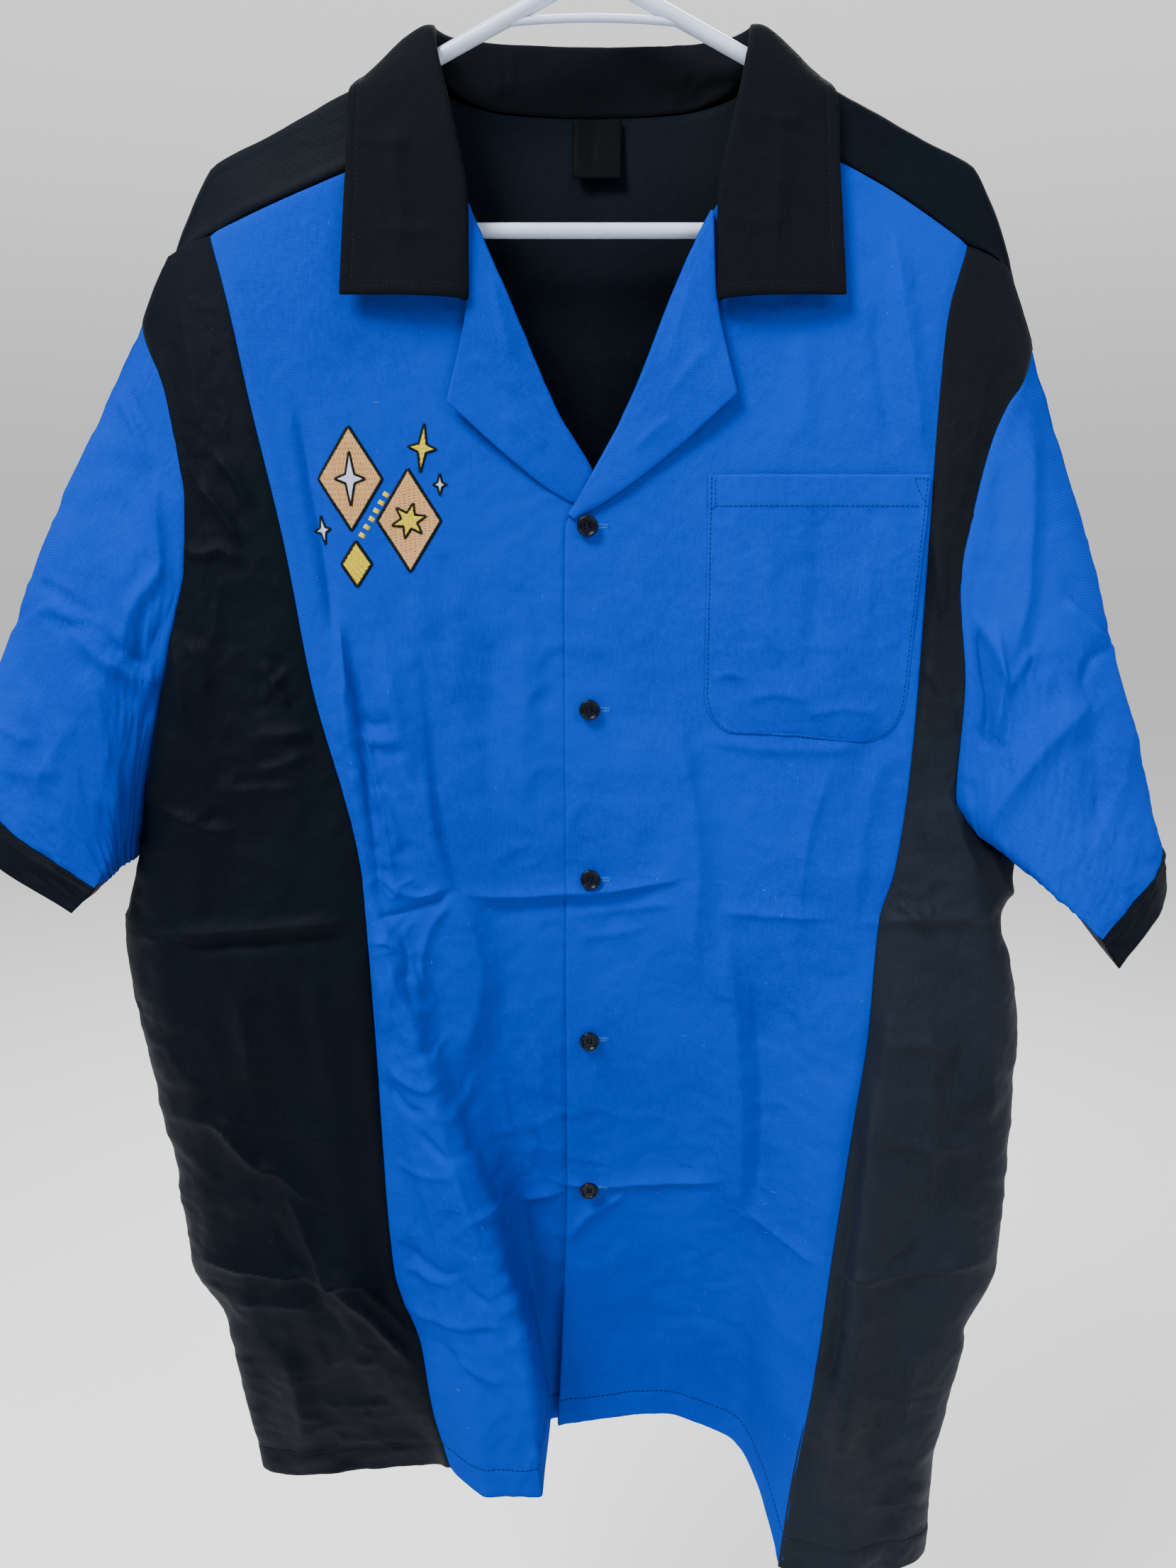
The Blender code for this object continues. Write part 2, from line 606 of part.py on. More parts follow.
# ---- sleeves and their bands ----------------------------------------------------
def sleeve_turns(side):
    """Turns of the sleeve that meet the body's rows round the armhole."""
    under = UNDERARM_R if side < 0 else UNDERARM_L
    line = side_line(side)
    top = BEHIND_END[side][2]
    zs = [top + (line.foot - top) * r for r in ROWS[:UNDER + 1]]
    front = [(z - line.top) / (under - line.top) / 2 for z in zs]
    fold = (FOLD_END[side][2] - line.top) / (under - line.top) / 2
    back_turns = [1 - q for q in reversed(front)] + [1 - fold]
    return [0.0] + front[:-1] + [0.5] + back_turns[1:] + [1.0]


for side, tag in ((-1, "right"), (1, "left")):
    turns = sleeve_turns(side)
    mid = (side * 280, 0, -420)
    sheet("sleeve_" + tag, turns, [0.0, 0.15, 0.3, 0.5, 0.7, 0.86, 1.0],
          lambda a, b, k=side: sleeve(k, a, b), BLUE, offset=-1.0, outward=mid)
    mid = tuple(CUFF[side][0](0.25) * 0.5 + CUFF[side][0](0.75) * 0.5)
    sheet("cuff_" + tag, turns, [1.04, 2.0], lambda a, b, k=side: sleeve(k, a, b), BLACK,
          offset=1.0, outward=mid)


# ---- collar and lapels -----------------------------------------------------------
sheet("collar", steps(0, 1, 34), [0, 0.17, 0.28, 0.34, 0.37, 0.40, 0.43, 0.46, 0.58, 0.79, 1.0],
      collar, BLACK)
sheet("lapel_left", steps(0, 1, 4), steps(0, 1, 10), lambda a, b: lapel(LAPEL_L, b, a), BLUE)
sheet("lapel_right", steps(0, 1, 4), steps(0, 1, 10), lambda a, b: lapel(LAPEL_R, b, a), BLUE)


# ---- pocket ---------------------------------------------------------------------
def pocket_point(a, b):
    k = POCKET
    z = k["top"] + (k["bottom"] - k["top"]) * b
    right = k["right_top"] + (k["right_bottom"] - k["right_top"]) * b
    left = k["left"]
    # the two lower corners are rounded
    low = max(0.0, (k["top"] + (k["bottom"] - k["top"]) * b) * -1 - (-k["bottom"] - k["corner"]))
    pull = k["corner"] - math.sqrt(max(k["corner"] ** 2 - low ** 2, 0.0))
    x = left + pull * 0.75 + (right - left - pull * 1.65) * a
    dip = 6.0 * (a - 0.25) * b
    p, n = on_panel(front_l, x, z - max(dip, 0), LIFT)
    return p


sheet("pocket", steps(0, 1, 6), [0, 0.2, 0.4, 0.6, 0.75, 0.87, 0.93, 0.97, 1.0], pocket_point, BLUE, 1.0, (0, 400, -600))


# ---- neck label ------------------------------------------------------------------
def label_point(a, b):
    s = 0.5 + NECK_HALF * (LABEL["x"] + LABEL["width"] * (a - 0.5)) / 100.0
    t = 0.001 + LABEL["height"] / 820.0 * b
    p = back_main(s, t)
    return p + np.array((0, -LIFT - 0.6 * b, 0))


sheet("neck_label", steps(0, 1, 2), steps(0, 1, 3), label_point, HORN)


# ---- buttons -----------------------------------------------------------------------
def button(index):
    z = FIRST_BUTTON_Z - BUTTON_PITCH * index
    p, n = on_panel(front_l, BUTTON_X, z, WALL + 0.4)
    r, t = BUTTON_R, BUTTON_T
    profile = [(0, 0), (r * 0.72, 0), (r * 0.92, t * 0.28), (r, t * 0.60), (r * 0.96, t * 0.88),
               (r * 0.86, t), (r * 0.74, t * 0.86), (r * 0.62, t * 0.66), (0, t * 0.66)]
    bm = bmesh.new()
    # the profile runs down its outer side, from the middle of the face
    verts = [bm.verts.new((x * MM, 0, y * MM)) for x, y in reversed(profile)]
    for a, b in zip(verts, verts[1:]):
        bm.edges.new((a, b))
    ob = finish("button_%d" % (index + 1), bm)
    sc = ob.modifiers.new("Turn", "SCREW")
    sc.axis = "Z"
    sc.steps = sc.render_steps = 16
    sc.use_merge_vertices = True
    sc.merge_threshold = 0.00001
    z_axis = Vector(n)
    rot = z_axis.to_track_quat("Z", "Y").to_matrix().to_4x4()
    ob.matrix_world = Matrix.Translation(Vector(p) * MM) @ rot
    material(ob, "button_%d_horn" % (index + 1), HORN, 0.35)


for i in range(5):
    button(i)


# ---- hanger ------------------------------------------------------------------------
def strip(name, pts, radius, cyclic=False, res=3):
    cu = bpy.data.curves.new(name, "CURVE")
    cu.dimensions = "3D"
    cu.bevel_depth = radius * MM
    cu.bevel_resolution = res
    cu.use_fill_caps = True
    sp = cu.splines.new("POLY")
    sp.points.add(len(pts) - 1)
    for q, p in zip(sp.points, pts):
        q.co = (p[0] * MM, p[1] * MM, p[2] * MM, 1)
    sp.use_cyclic_u = cyclic
    ob = bpy.data.objects.new(name + "_curve", cu)
    PARTS.objects.link(ob)
    dg = bpy.context.evaluated_depsgraph_get()
    me = bpy.data.meshes.new_from_object(ob.evaluated_get(dg))
    bm = bmesh.new()
    bm.from_mesh(me)
    bmesh.ops.remove_doubles(bm, verts=bm.verts, dist=0.00001)
    bmesh.ops.recalc_face_normals(bm, faces=bm.faces)
    bm.to_mesh(me)
    bm.free()
    out = bpy.data.objects.new(name, me)
    out.matrix_world = ob.matrix_world
    PARTS.objects.link(out)
    bpy.data.objects.remove(ob, do_unlink=True)
    for p in out.data.polygons:
        p.use_smooth = True
    return out


def hanger():
    # one loop: arms, round ends, bottom bar
    half = []
    apex_r = 16.0
    tan_x = apex_r * math.sin(math.atan(ARM_SLOPE))
    top_c = APEX_Z - apex_r / math.cos(math.atan(ARM_SLOPE))
    for i in range(0, 4):
        a = math.asin(tan_x / apex_r) * i / 3
        half.append((apex_r * math.sin(a), 0, top_c + apex_r * math.cos(a)))
    for x in (60, 110, 155):
        half.append((x, 0, APEX_Z - ARM_SLOPE * x))
    start = 90 - math.degrees(math.atan(ARM_SLOPE))
    for i in range(0, 9):
        a = start + (-90 - start) * i / 8
        x, z = end_bend(a, END_R)
        half.append((x, 0, z))
    half += [(120, 0, BAR_Z), (60, 0, BAR_Z), (0, 0, BAR_Z)]
    other = [(-x, y, z) for x, y, z in half[-2:0:-1]]
    frame = strip("hanger", half + other, TUBE_R, cyclic=True)
    # hook: neck from the apex, then round
    hook = [(0, 0, APEX_Z - 2), (0, 0, APEX_Z + 18)]
    for i in range(0, 17):
        a = math.radians(-90 + 285 * i / 16)
        hook.append((HOOK_R * math.cos(a), 0, HOOK_TUBE_R - HOOK_R + HOOK_R * math.sin(a)))
    tip = hook[-1]
    hook.append((tip[0] - 2.5, 0, tip[2] - 6))
    hk = strip("hook_cutter", hook, HOOK_TUBE_R)
    neck = strip("neck_cutter", [(0, 0, APEX_Z - 3), (0, 0, APEX_Z + 6), (0, 0, APEX_Z + 22)], 4.6)
    # brace: a shallow arch between the arms
    brace = []
    for i in range(0, 9):
        x = -46 + 92 * i / 8
        brace.append((x, 0, -98.0 - 2.2 * (x / 46) ** 2))
    br = strip("brace_cutter", brace, 2.0, res=2)
    for tool in (hk, neck, br):
        mod = frame.modifiers.new(tool.name, "BOOLEAN")
        mod.operation = "UNION"
        mod.solver = "EXACT"
        mod.object = tool
        tool.hide_render = True
        tool.display_type = "WIRE"
    material(frame, "hanger_plastic", WHITE, 0.35)


hanger()
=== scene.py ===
"""Bowling shirt on a hanger: the looks.

Cloth pieces are thin shells on the forms of their CAD solids.  Their creases
are tables of lines (u, v: where a line shows in the 1659 x 2212 frame, dropped
from the camera on to the cloth) with a height and a width in millimetres.
"""
import math

import bmesh
import bpy
import numpy as np
from mathutils import Matrix, Vector
from mathutils.bvhtree import BVHTree


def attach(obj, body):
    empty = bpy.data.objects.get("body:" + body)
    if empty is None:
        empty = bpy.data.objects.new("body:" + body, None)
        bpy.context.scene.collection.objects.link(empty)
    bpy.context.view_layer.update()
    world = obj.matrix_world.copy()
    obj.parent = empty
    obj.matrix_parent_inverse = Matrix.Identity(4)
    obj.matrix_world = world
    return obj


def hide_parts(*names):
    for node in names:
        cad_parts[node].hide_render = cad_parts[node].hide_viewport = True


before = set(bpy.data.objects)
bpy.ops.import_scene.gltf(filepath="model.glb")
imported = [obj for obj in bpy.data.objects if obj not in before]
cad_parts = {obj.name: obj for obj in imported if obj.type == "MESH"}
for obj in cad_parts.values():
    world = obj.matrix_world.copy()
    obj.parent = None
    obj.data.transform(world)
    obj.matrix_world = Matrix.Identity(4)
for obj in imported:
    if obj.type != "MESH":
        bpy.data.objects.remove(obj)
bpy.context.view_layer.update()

MM = 0.001
APEX_Z, ARM_SLOPE, BAR_Z = -76.0, 0.50, -200.0
HANGER_HALF, END_R = 201.0, 14.5
HOOK_R, HOOK_TUBE_R, TUBE_R = 23.5, 3.5, 4.0
BUTTON_R, BUTTON_PITCH, FIRST_BUTTON_Z, BUTTON_X = 5.8, 101.5, -355.5, -2.0
SLEEVE_GAP = 0.4
ROUND = 5.7
FACE = 0.9               # the cloth's outer face stands this far off the seam lines' surface
PLY = 0.6                # one ply of twill as drawn
rng = np.random.default_rng(7)

# ---- seam lines: z, x, y --------------------------------------------------
# princess seams, from the forward shoulder seam to the hem
PRINCESS_R = [(-205, -202, -13), (-238, -193, -20), (-288, -183, -25), (-365, -167, -30),
              (-438, -156, -32), (-552, -131, -38), (-648, -128, -34), (-725, -127, -30),
              (-809, -124, -28), (-864, -109, -26), (-912, -103, -26), (-959, -93, -22)]
PRINCESS_L = [(-210, 198, -13), (-250, 187, -22), (-297, 184, -26), (-385, 182, -30),
              (-487, 178, -36), (-546, 172, -38), (-576, 164, -40), (-644, 161, -42),
              (-698, 154, -47), (-778, 144, -54), (-863, 134, -62), (-934, 122, -70),
              (-982, 116, -76)]
# armhole, front half, down to the underarm, then the side seam to the hem
SIDE_R = [(-249, -247, 4), (-276, -236, -12), (-314, -226, -20), (-346, -222, -25),
          (-381, -224, -26), (-406, -231, -26), (-439, -239, -25), (-498, -255, -18),
          (-545, -267, -4), (-600, -282, 0), (-635, -279, 0), (-743, -263, 2),
          (-821, -256, 4), (-856, -241, 5), (-923, -231, 8), (-985, -226, 12)]
SIDE_L = [(-262, 242, 4), (-286, 232, -12), (-314, 218, -22), (-353, 208, -28),
          (-389, 202, -32), (-445, 206, -36), (-506, 204, -35), (-530, 222, -25),
          (-549, 250, -4), (-583, 242, -8), (-604, 249, -8), (-645, 257, -10),
          (-687, 256, -13), (-775, 252, -24), (-801, 251, -28), (-842, 229, -34),
          (-885, 222, -40), (-929, 215, -44), (-992, 213, -48)]
UNDERARM_R = -545
UNDERARM_L = -549
# armhole, back half, same ends
ARM_BACK_R = [(-249, -247, 4), (-273, -239, 14.5), (-310, -232, 22), (-370, -228, 28),
              (-450, -240, 25), (-520, -259, 12), (-545, -267, -4)]
ARM_BACK_L = [(-262, 242, 4), (-275.2, 236, 13), (-320, 228, 22), (-380, 220, 27),
              (-450, 226, 25), (-520, 243, 13), (-549, 250, -4)]
# front edges: neck, roll line of the lapel, then the buttoned edge
EDGE_L = [(-158, 90, -9), (-192, 64, -14), (-294, 20, -21), (-324, 3, -23.5),
          (-341, -7, -24), (-356, -15, -24.5), (-455, -15.5, -26), (-554, -15.5, -26),
          (-656, -15.5, -23), (-754, -15.5, -12), (-850, -18.5, -2), (-952, -23, 8)]
EDGE_R = [(-158, -90, -9), (-185, -68, -13), (-209, -58, -15), (-294, -21, -18.5),
          (-330, 1, -18.7), (-356, 12, -19.5), (-455, 14, -23), (-554, 14, -23),
          (-656, 14, -20), (-754, 14, -8), (-850, 14, 5), (-952, 12, 18)]
# lines inside the panels, where the cloth stands forward or falls back
RECESS_R = [(-168, -113, -11), (-250, -80, -19), (-356, -42, -24), (-455, -40, -26),
            (-560, -44, -27), (-650, -50, -20), (-760, -42, -8), (-880, -35, 6),
            (-953, -31, 15)]
RIDGE_R = [(-181, -146, -12), (-250, -150, -23), (-356, -139, -28), (-434, -132, -30),
           (-552, -116, -38), (-632, -108, -38), (-684, -93, -39), (-739, -74, -41),
           (-801, -57, -44), (-864, -42, -46), (-956, -33, -48)]
SHOULDER_R = [(-193, -175, -13), (-250, -170, -22), (-365, -153, -29), (-552, -124, -39),
              (-640, -118, -38), (-708, -106, -38), (-801, -90, -39), (-864, -76, -43),
              (-958, -64, -47)]
INNER_L = [(-166, 120, -11), (-250, 96, -20), (-356, 44, -26), (-455, 44, -28),
           (-560, 44, -27), (-656, 44, -22), (-754, 44, -10), (-850, 44, 4), (-951, 44, 18)]
MIDDLE_L = [(-180, 150, -12), (-250, 140, -22), (-356, 98, -28), (-455, 94, -31),
            (-560, 94, -32), (-656, 94, -26), (-754, 96, -20), (-850, 97, -9), (-957, 96, 1)]
OUTER_L = [(-195, 175, -13), (-250, 168, -23), (-356, 142, -29), (-455, 140, -33),
           (-560, 136, -37), (-656, 132, -38), (-754, 124, -40), (-850, 115, -38),
           (-964, 108, -30)]
QUARTER_R = [(-208, -212, -11), (-300, -200, -25), (-450, -183, -35), (-600, -172, -40),
             (-750, -165, -35), (-810, -155, -38), (-864, -136, -32), (-968, -112, -10)]
HALF_R = [(-214, -227, -5), (-300, -211, -24), (-450, -212, -35), (-600, -222, -36),
          (-750, -208, -33), (-864, -188, -24), (-976, -165, -8)]
QUARTER_L = [(-213, 208, -10), (-300, 193, -26), (-450, 184, -36), (-520, 181, -38.5), (-560, 184, -44),
             (-660, 170, -54), (-775, 162, -66), (-860, 152, -74), (-986, 149, -80)]
HALF_L = [(-219, 222, -5), (-300, 206, -24), (-340, 198, -29), (-385, 190, -33), (-450, 190, -36.5),
          (-520, 187, -39.5), (-560, 206, -42),
          (-645, 217, -44), (-775, 208, -56), (-860, 192, -66), (-990, 183, -68)]
# the back, from its top edge to the hem
BACK_Q_R = [(-140, -135, 5), (-200, -135, 16), (-300, -135, 28), (-450, -140, 38),
            (-600, -145, 46), (-750, -140, 52), (-962, -130, 56)]
BACK_C = [(-138, 0, 26), (-200, 0, 22), (-300, 0, 28), (-450, 0, 38),
          (-600, 0, 46), (-750, 0, 52), (-955, 0, 52)]
BACK_Q_L = [(-140, 135, 5), (-200, 135, 16), (-300, 135, 27), (-450, 138, 35),
            (-600, 142, 38), (-750, 138, 36), (-965, 128, 26)]
# neck seam of the back: x, y, z for one side, from the centre to the shoulder top
NECK_BACK = [(0, 26, -138), (45, 22, -137), (74, 14, -132)]
# the fold over the hanger's arm, past the hanger's end, to the armhole
FOLD_END = {-1: (-243.5, 9, -259), 1: (239.5, 8.5, -267.5)}
BEHIND_END = {-1: (-239, 14.5, -273), 1: (236, 13, -275.2)}

# ---- sleeves: ring at the cuff seam and at the cuff's edge; turn, x, y, z ----
# turn 0 is the top of the sleeve, 0.5 the underarm, forward first
CUFF_SEAM_R = [(0.0, -383, 18, -501), (0.24, -336, -28, -524), (0.45, -279, -50, -553),
               (0.54, -289, 4, -558), (0.64, -304, 52, -545), (0.80, -352, 62, -516)]
CUFF_EDGE_R = [(0.0, -395, 19, -518), (0.24, -348, -29, -541), (0.45, -292, -52, -566),
               (0.54, -295, 4, -562), (0.64, -310, 53, -554), (0.80, -364, 63, -533)]
CUFF_SEAM_L = [(0.0, 337, 4, -536), (0.24, 318, -42, -548), (0.43, 275, -80, -572),
               (0.53, 270, -10, -547), (0.64, 270, 46, -540), (0.82, 318, 62, -540)]
CUFF_EDGE_L = [(0.0, 340, 4, -556), (0.24, 323, -43, -567), (0.43, 284, -82, -587),
               (0.53, 274, -10, -563), (0.64, 274, 46, -556), (0.82, 322, 62, -560)]

# ---- collar: one row for each station from the back centre to the front end --
# neck seam x y z, fold x y z, outer edge x y z (for +X; -X is its mirror)
COLLAR = [
    # neck seam            fold                 outer edge
    ((0, 27.5, -136),   (0, 30, -101.5),   (0, 44, -146)),
    ((45, 23.5, -135),  (46, 27, -101.5),  (52, 42, -146)),
    ((72, 14.5, -129),  (76, 17, -101),    (98, 31, -142)),
    ((85.5, 1, -110.5), (82.5, 2, -101),   (122, 8, -127)),
    ((86, -10.5, -126), (79.5, -10.5, -118), (126, -12, -138)),
    ((84, -12.5, -152), (73, -17, -148),   (127, -19, -170)),
    ((71, -17.5, -190), (65, -21.5, -192), (129, -25, -204)),
    ((71, -24, -237),   (65.5, -27, -239), (131, -30.5, -237)),
]
# lapel: roll line x y z and outer edge x y z, top row (gorge) to break point
LAPEL_L = [
    ((63, -18, -196),   (64, -25, -237)),
    ((46, -22, -236),   (68, -28, -255)),
    ((30, -24, -272),   (76, -31, -286)),
    ((14, -25.7, -306), (42, -29, -316)),
    ((1, -26.7, -329),  (12, -28, -338)),
    ((-11.5, -27, -349.5), (-9.5, -27.5, -351)),
]
LAPEL_R = [
    ((-65, -17, -192),  (-65, -24, -238)),
    ((-49, -19.5, -230), (-70, -27, -262)),
    ((-34, -20.5, -264), (-77, -30, -290)),
    ((-18, -21.4, -300), (-44, -27, -319)),
    ((-4, -21.5, -326), (-22, -23.4, -336)),
    ((6, -21.4, -340),  (-3, -21.9, -346)),
]
POCKET = dict(left=62.5, right_top=181.0, right_bottom=172.0, top=-328.0, bottom=-468.0,
              corner=24.0, hem=17.0)
LABEL = dict(width=27.0, height=31.0, x=3.0)


# ---- curves, for whole arrays at once ---------------------------------------
def slopes(keys, vals):
    h = np.diff(keys)
    d = np.diff(vals, axis=0) / h[:, None]
    m = np.zeros_like(vals)
    m[0], m[-1] = d[0], d[-1]
    for i in range(1, len(keys) - 1):
        a, b = d[i - 1], d[i]
        same = a * b > 0
        w1, w2 = 2 * h[i] + h[i - 1], h[i] + 2 * h[i - 1]
        with np.errstate(divide="ignore", invalid="ignore"):
            hm = (w1 + w2) / (w1 / np.where(same, a, 1) + w2 / np.where(same, b, 1))
        m[i] = np.where(same, hm, 0.0)
    return m


class Curve:
    def __init__(self, keys, vals):
        self.k = np.asarray(keys, float)
        self.v = np.asarray(vals, float)
        self.m = slopes(self.k, self.v)

    def __call__(self, q):
        one = np.isscalar(q)
        q = np.clip(np.atleast_1d(np.asarray(q, float)), self.k[0], self.k[-1])
        i = np.clip(np.searchsorted(self.k, q) - 1, 0, len(self.k) - 2)
        h = self.k[i + 1] - self.k[i]
        u = ((q - self.k[i]) / h)[:, None]
        h = h[:, None]
        a, b = (1 + 2 * u) * (1 - u) ** 2, u * (1 - u) ** 2
        c, d = u * u * (3 - 2 * u), u * u * (u - 1)
        out = a * self.v[i] + b * h * self.m[i] + c * self.v[i + 1] + d * h * self.m[i + 1]
        return out[0] if one else out


class Line:
    def __init__(self, rows, top=None, foot=None):
        self.c = Curve([-r[0] for r in rows], [(r[1], r[2]) for r in rows])
        self.top = rows[0][0] if top is None else top
        self.foot = rows[-1][0] if foot is None else foot

    def __call__(self, t):
        z = self.top + (self.foot - self.top) * np.asarray(t, float)
        xy = self.c(-z if z.ndim else float(-z))
        return np.concatenate((xy, np.asarray(z)[..., None]), axis=-1)


def path(points):
    p = np.asarray(points, float)
    k = np.concatenate(([0], np.cumsum(np.linalg.norm(np.diff(p, axis=0), axis=1))))
    return Curve(k / k[-1], p)


def pointed(rows, i, by=0.014, share=0.03):
    """The ring's rows with a sharp fold at one of them."""
    k, *tip = rows[i]
    tip = np.array(tip, float)
    before, after = np.array(rows[i - 1][1:], float), np.array(rows[i + 1][1:], float)
    extra = [(k - by, *(tip + (before - tip) * share)), (k, *tip), (k + by, *(tip + (after - tip) * share))]
    return rows[:i] + extra + rows[i + 1:]


def ring(rows):
    keys = [r[0] for r in rows]
    vals = [r[1:] for r in rows]
    k = np.array([q - 1 for q in keys] + keys + [q + 1 for q in keys])
    v = np.array(vals * 3, float)
    m = np.zeros_like(v)
    m[1:-1] = (v[2:] - v[:-2]) / (k[2:] - k[:-2])[:, None]
    c = Curve(k, v)
    c.m = m
    return c


def smooth(q):
    q = np.clip(q, 0.0, 1.0)
    return q * q * (3 - 2 * q)


# ---- the panels' surfaces, as grids: rows down, columns across ---------------
def across(lines, keys, ss, ts, turn=False):
    ss, ts = np.asarray(ss, float), np.asarray(ts, float)
    pts = np.array([line(ts) for line in lines])
    n = len(ts)
    if not turn:
        return Curve(keys, pts.reshape(len(lines), -1))(ss).reshape(len(ss), n, 3).transpose(1, 0, 2)
    inner = ss <= keys[-2]
    out = np.zeros((n, len(ss), 3))
    out[:, inner] = Curve(keys[:-1], pts[:-1].reshape(len(lines) - 1, -1))(ss[inner]).reshape(-1, n, 3).transpose(1, 0, 2)
    q = (ss[~inner] - keys[-2]) / (keys[-1] - keys[-2]) * math.pi / 2
    k = np.stack((np.sin(q), 1 - np.cos(q), np.sin(q)), -1)
    out[:, ~inner] = pts[-2][:, None] + (pts[-1] - pts[-2])[:, None] * k[None]
    return out


FRONT = {
    1: ([Line(EDGE_L), Line(INNER_L), Line(MIDDLE_L), Line(OUTER_L), Line(PRINCESS_L)], [0, 0.28, 0.54, 0.79, 1.0]),
    -1: ([Line(EDGE_R), Line(RECESS_R), Line(RIDGE_R), Line(SHOULDER_R), Line(PRINCESS_R)], [0, 0.30, 0.62, 0.80, 1.0])}
FLANK = {
    1: ([Line(PRINCESS_L), Line(QUARTER_L), Line(HALF_L), Line(SIDE_L)], [0, 0.22, 0.62, 1.0]),
    -1: ([Line(PRINCESS_R), Line(QUARTER_R), Line(HALF_R), Line(SIDE_R)], [0, 0.25, 0.62, 1.0])}


def front(side, ss, ts):
    return across(*FRONT[side], ss, ts)


def flank(side, ss, ts):
    return across(*FLANK[side], ss, ts, turn=True)


def arm_top(x):
    return APEX_Z - ARM_SLOPE * abs(x) + ROUND / math.cos(math.atan(ARM_SLOPE))


def end_bend(angle, r):
    c = HANGER_HALF - END_R
    a = math.radians(angle)
    return c + r * math.cos(a), BAR_Z + END_R + r * math.sin(a)


def fold_line(side):
    pts = [(side * x, 0, arm_top(x)) for x in (88, 120, 150, 178)]
    for angle in (75, 48, 20):
        x, z = end_bend(angle, END_R + ROUND + 1.4)
        pts.append((side * x, 0, z))
    pts += [(side * 226, 4, -214 if side < 0 else -217), FOLD_END[side]]
    return path(pts)


FOLD = {-1: fold_line(-1), 1: fold_line(1)}


def behind(side, s):
    drop = np.array((0, ROUND, -ROUND * 1.1))
    p = FOLD[side](float(s)) + drop
    end = FOLD[side](1.0) + drop
    return p + (np.array(BEHIND_END[side]) - end) * s ** 4


NECK = {s: path([(s * x, y, z) for x, y, z in NECK_BACK] + [tuple(behind(s, 0.0))]) for s in (-1, 1)}
NECK_HALF = 0.165
FRONT_SHARE = 0.68


def back_side(side):
    arm = ARM_BACK_R if side < 0 else ARM_BACK_L
    seam = SIDE_R if side < 0 else SIDE_L
    under = UNDERARM_R if side < 0 else UNDERARM_L
    e = BEHIND_END[side]
    return Line([(e[2], e[0], e[1])] + [r for r in arm if r[0] < e[2] - 6] + [r for r in seam if r[0] < under])


BACK_LINES = [back_side(-1), Line(BACK_Q_R), Line(BACK_C), Line(BACK_Q_L), back_side(1)]
BACK_KEYS = [0, 0.26, 0.5, 0.74, 1.0]


def back_top(s):
    side = -1 if s < 0.5 else 1
    d = abs(s - 0.5)
    if d <= NECK_HALF:
        return NECK[side](d / NECK_HALF)
    return behind(side, (d - NECK_HALF) / (0.5 - NECK_HALF))


def back(ss, ts):
    ss, ts = np.asarray(ss, float), np.asarray(ts, float)
    base = across(BACK_LINES, BACK_KEYS, ss, ts)
    q = np.clip((np.abs(ss - 0.5) * 2 - 0.62) / 0.38, 0, 1)
    base[:, :, 1] += np.sin(math.pi * q)[None] * 9.0 * np.minimum(1.0, ts * 5)[:, None]
    top0 = across(BACK_LINES, BACK_KEYS, ss, [0.0])[0]
    top = np.array([back_top(s) for s in ss])
    w = smooth(np.maximum(0.0, 1 - ts / 0.16))
    return base + (top - top0)[None] * w[:, None, None]


def forward_seam(side, s):
    if s <= FRONT_SHARE:
        return front(side, [s / FRONT_SHARE], [0.0])[0, 0]
    return flank(side, [(s - FRONT_SHARE) / (1 - FRONT_SHARE)], [0.0])[0, 0]


def yoke(side, ss, ts):
    """Forward shoulder: t -1 behind the arm, 0 on the fold, 1 at the forward seam."""
    out = np.zeros((len(ts), len(ss), 3))
    for j, s in enumerate(ss):
        s = min(max(s, 0.0), 1.0)
        top = FOLD[side](float(s))
        b = behind(side, s) - top
        seam = forward_seam(side, s)
        fade = max(0.0, 1 - (s / 0.9) ** 4)
        turn = top + np.array((0, -ROUND, -ROUND * 1.1)) * fade + (seam - top) * 0.35 * (1 - fade)
        for i, t in enumerate(ts):
            if t <= 0:
                a = -t * math.pi / 2
                out[i, j] = top + b * np.array((-t, math.sin(a), 1 - math.cos(a)))
            elif t < 0.35:
                a = t / 0.35 * math.pi / 2
                out[i, j] = top + (turn - top) * np.array((t / 0.35, math.sin(a), 1 - math.cos(a)))
            else:
                out[i, j] = turn + (seam - turn) * (t - 0.35) / 0.65
    return out


ARM_FRONT = {-1: Line(SIDE_R, foot=UNDERARM_R), 1: Line(SIDE_L, foot=UNDERARM_L)}
ARM_REAR = {-1: Line(ARM_BACK_R), 1: Line(ARM_BACK_L)}
CUFF = {-1: (ring(pointed(CUFF_SEAM_R, 2)), ring(pointed(CUFF_EDGE_R, 2))),
        1: (ring(pointed(CUFF_SEAM_L, 2)), ring(pointed(CUFF_EDGE_L, 2)))}


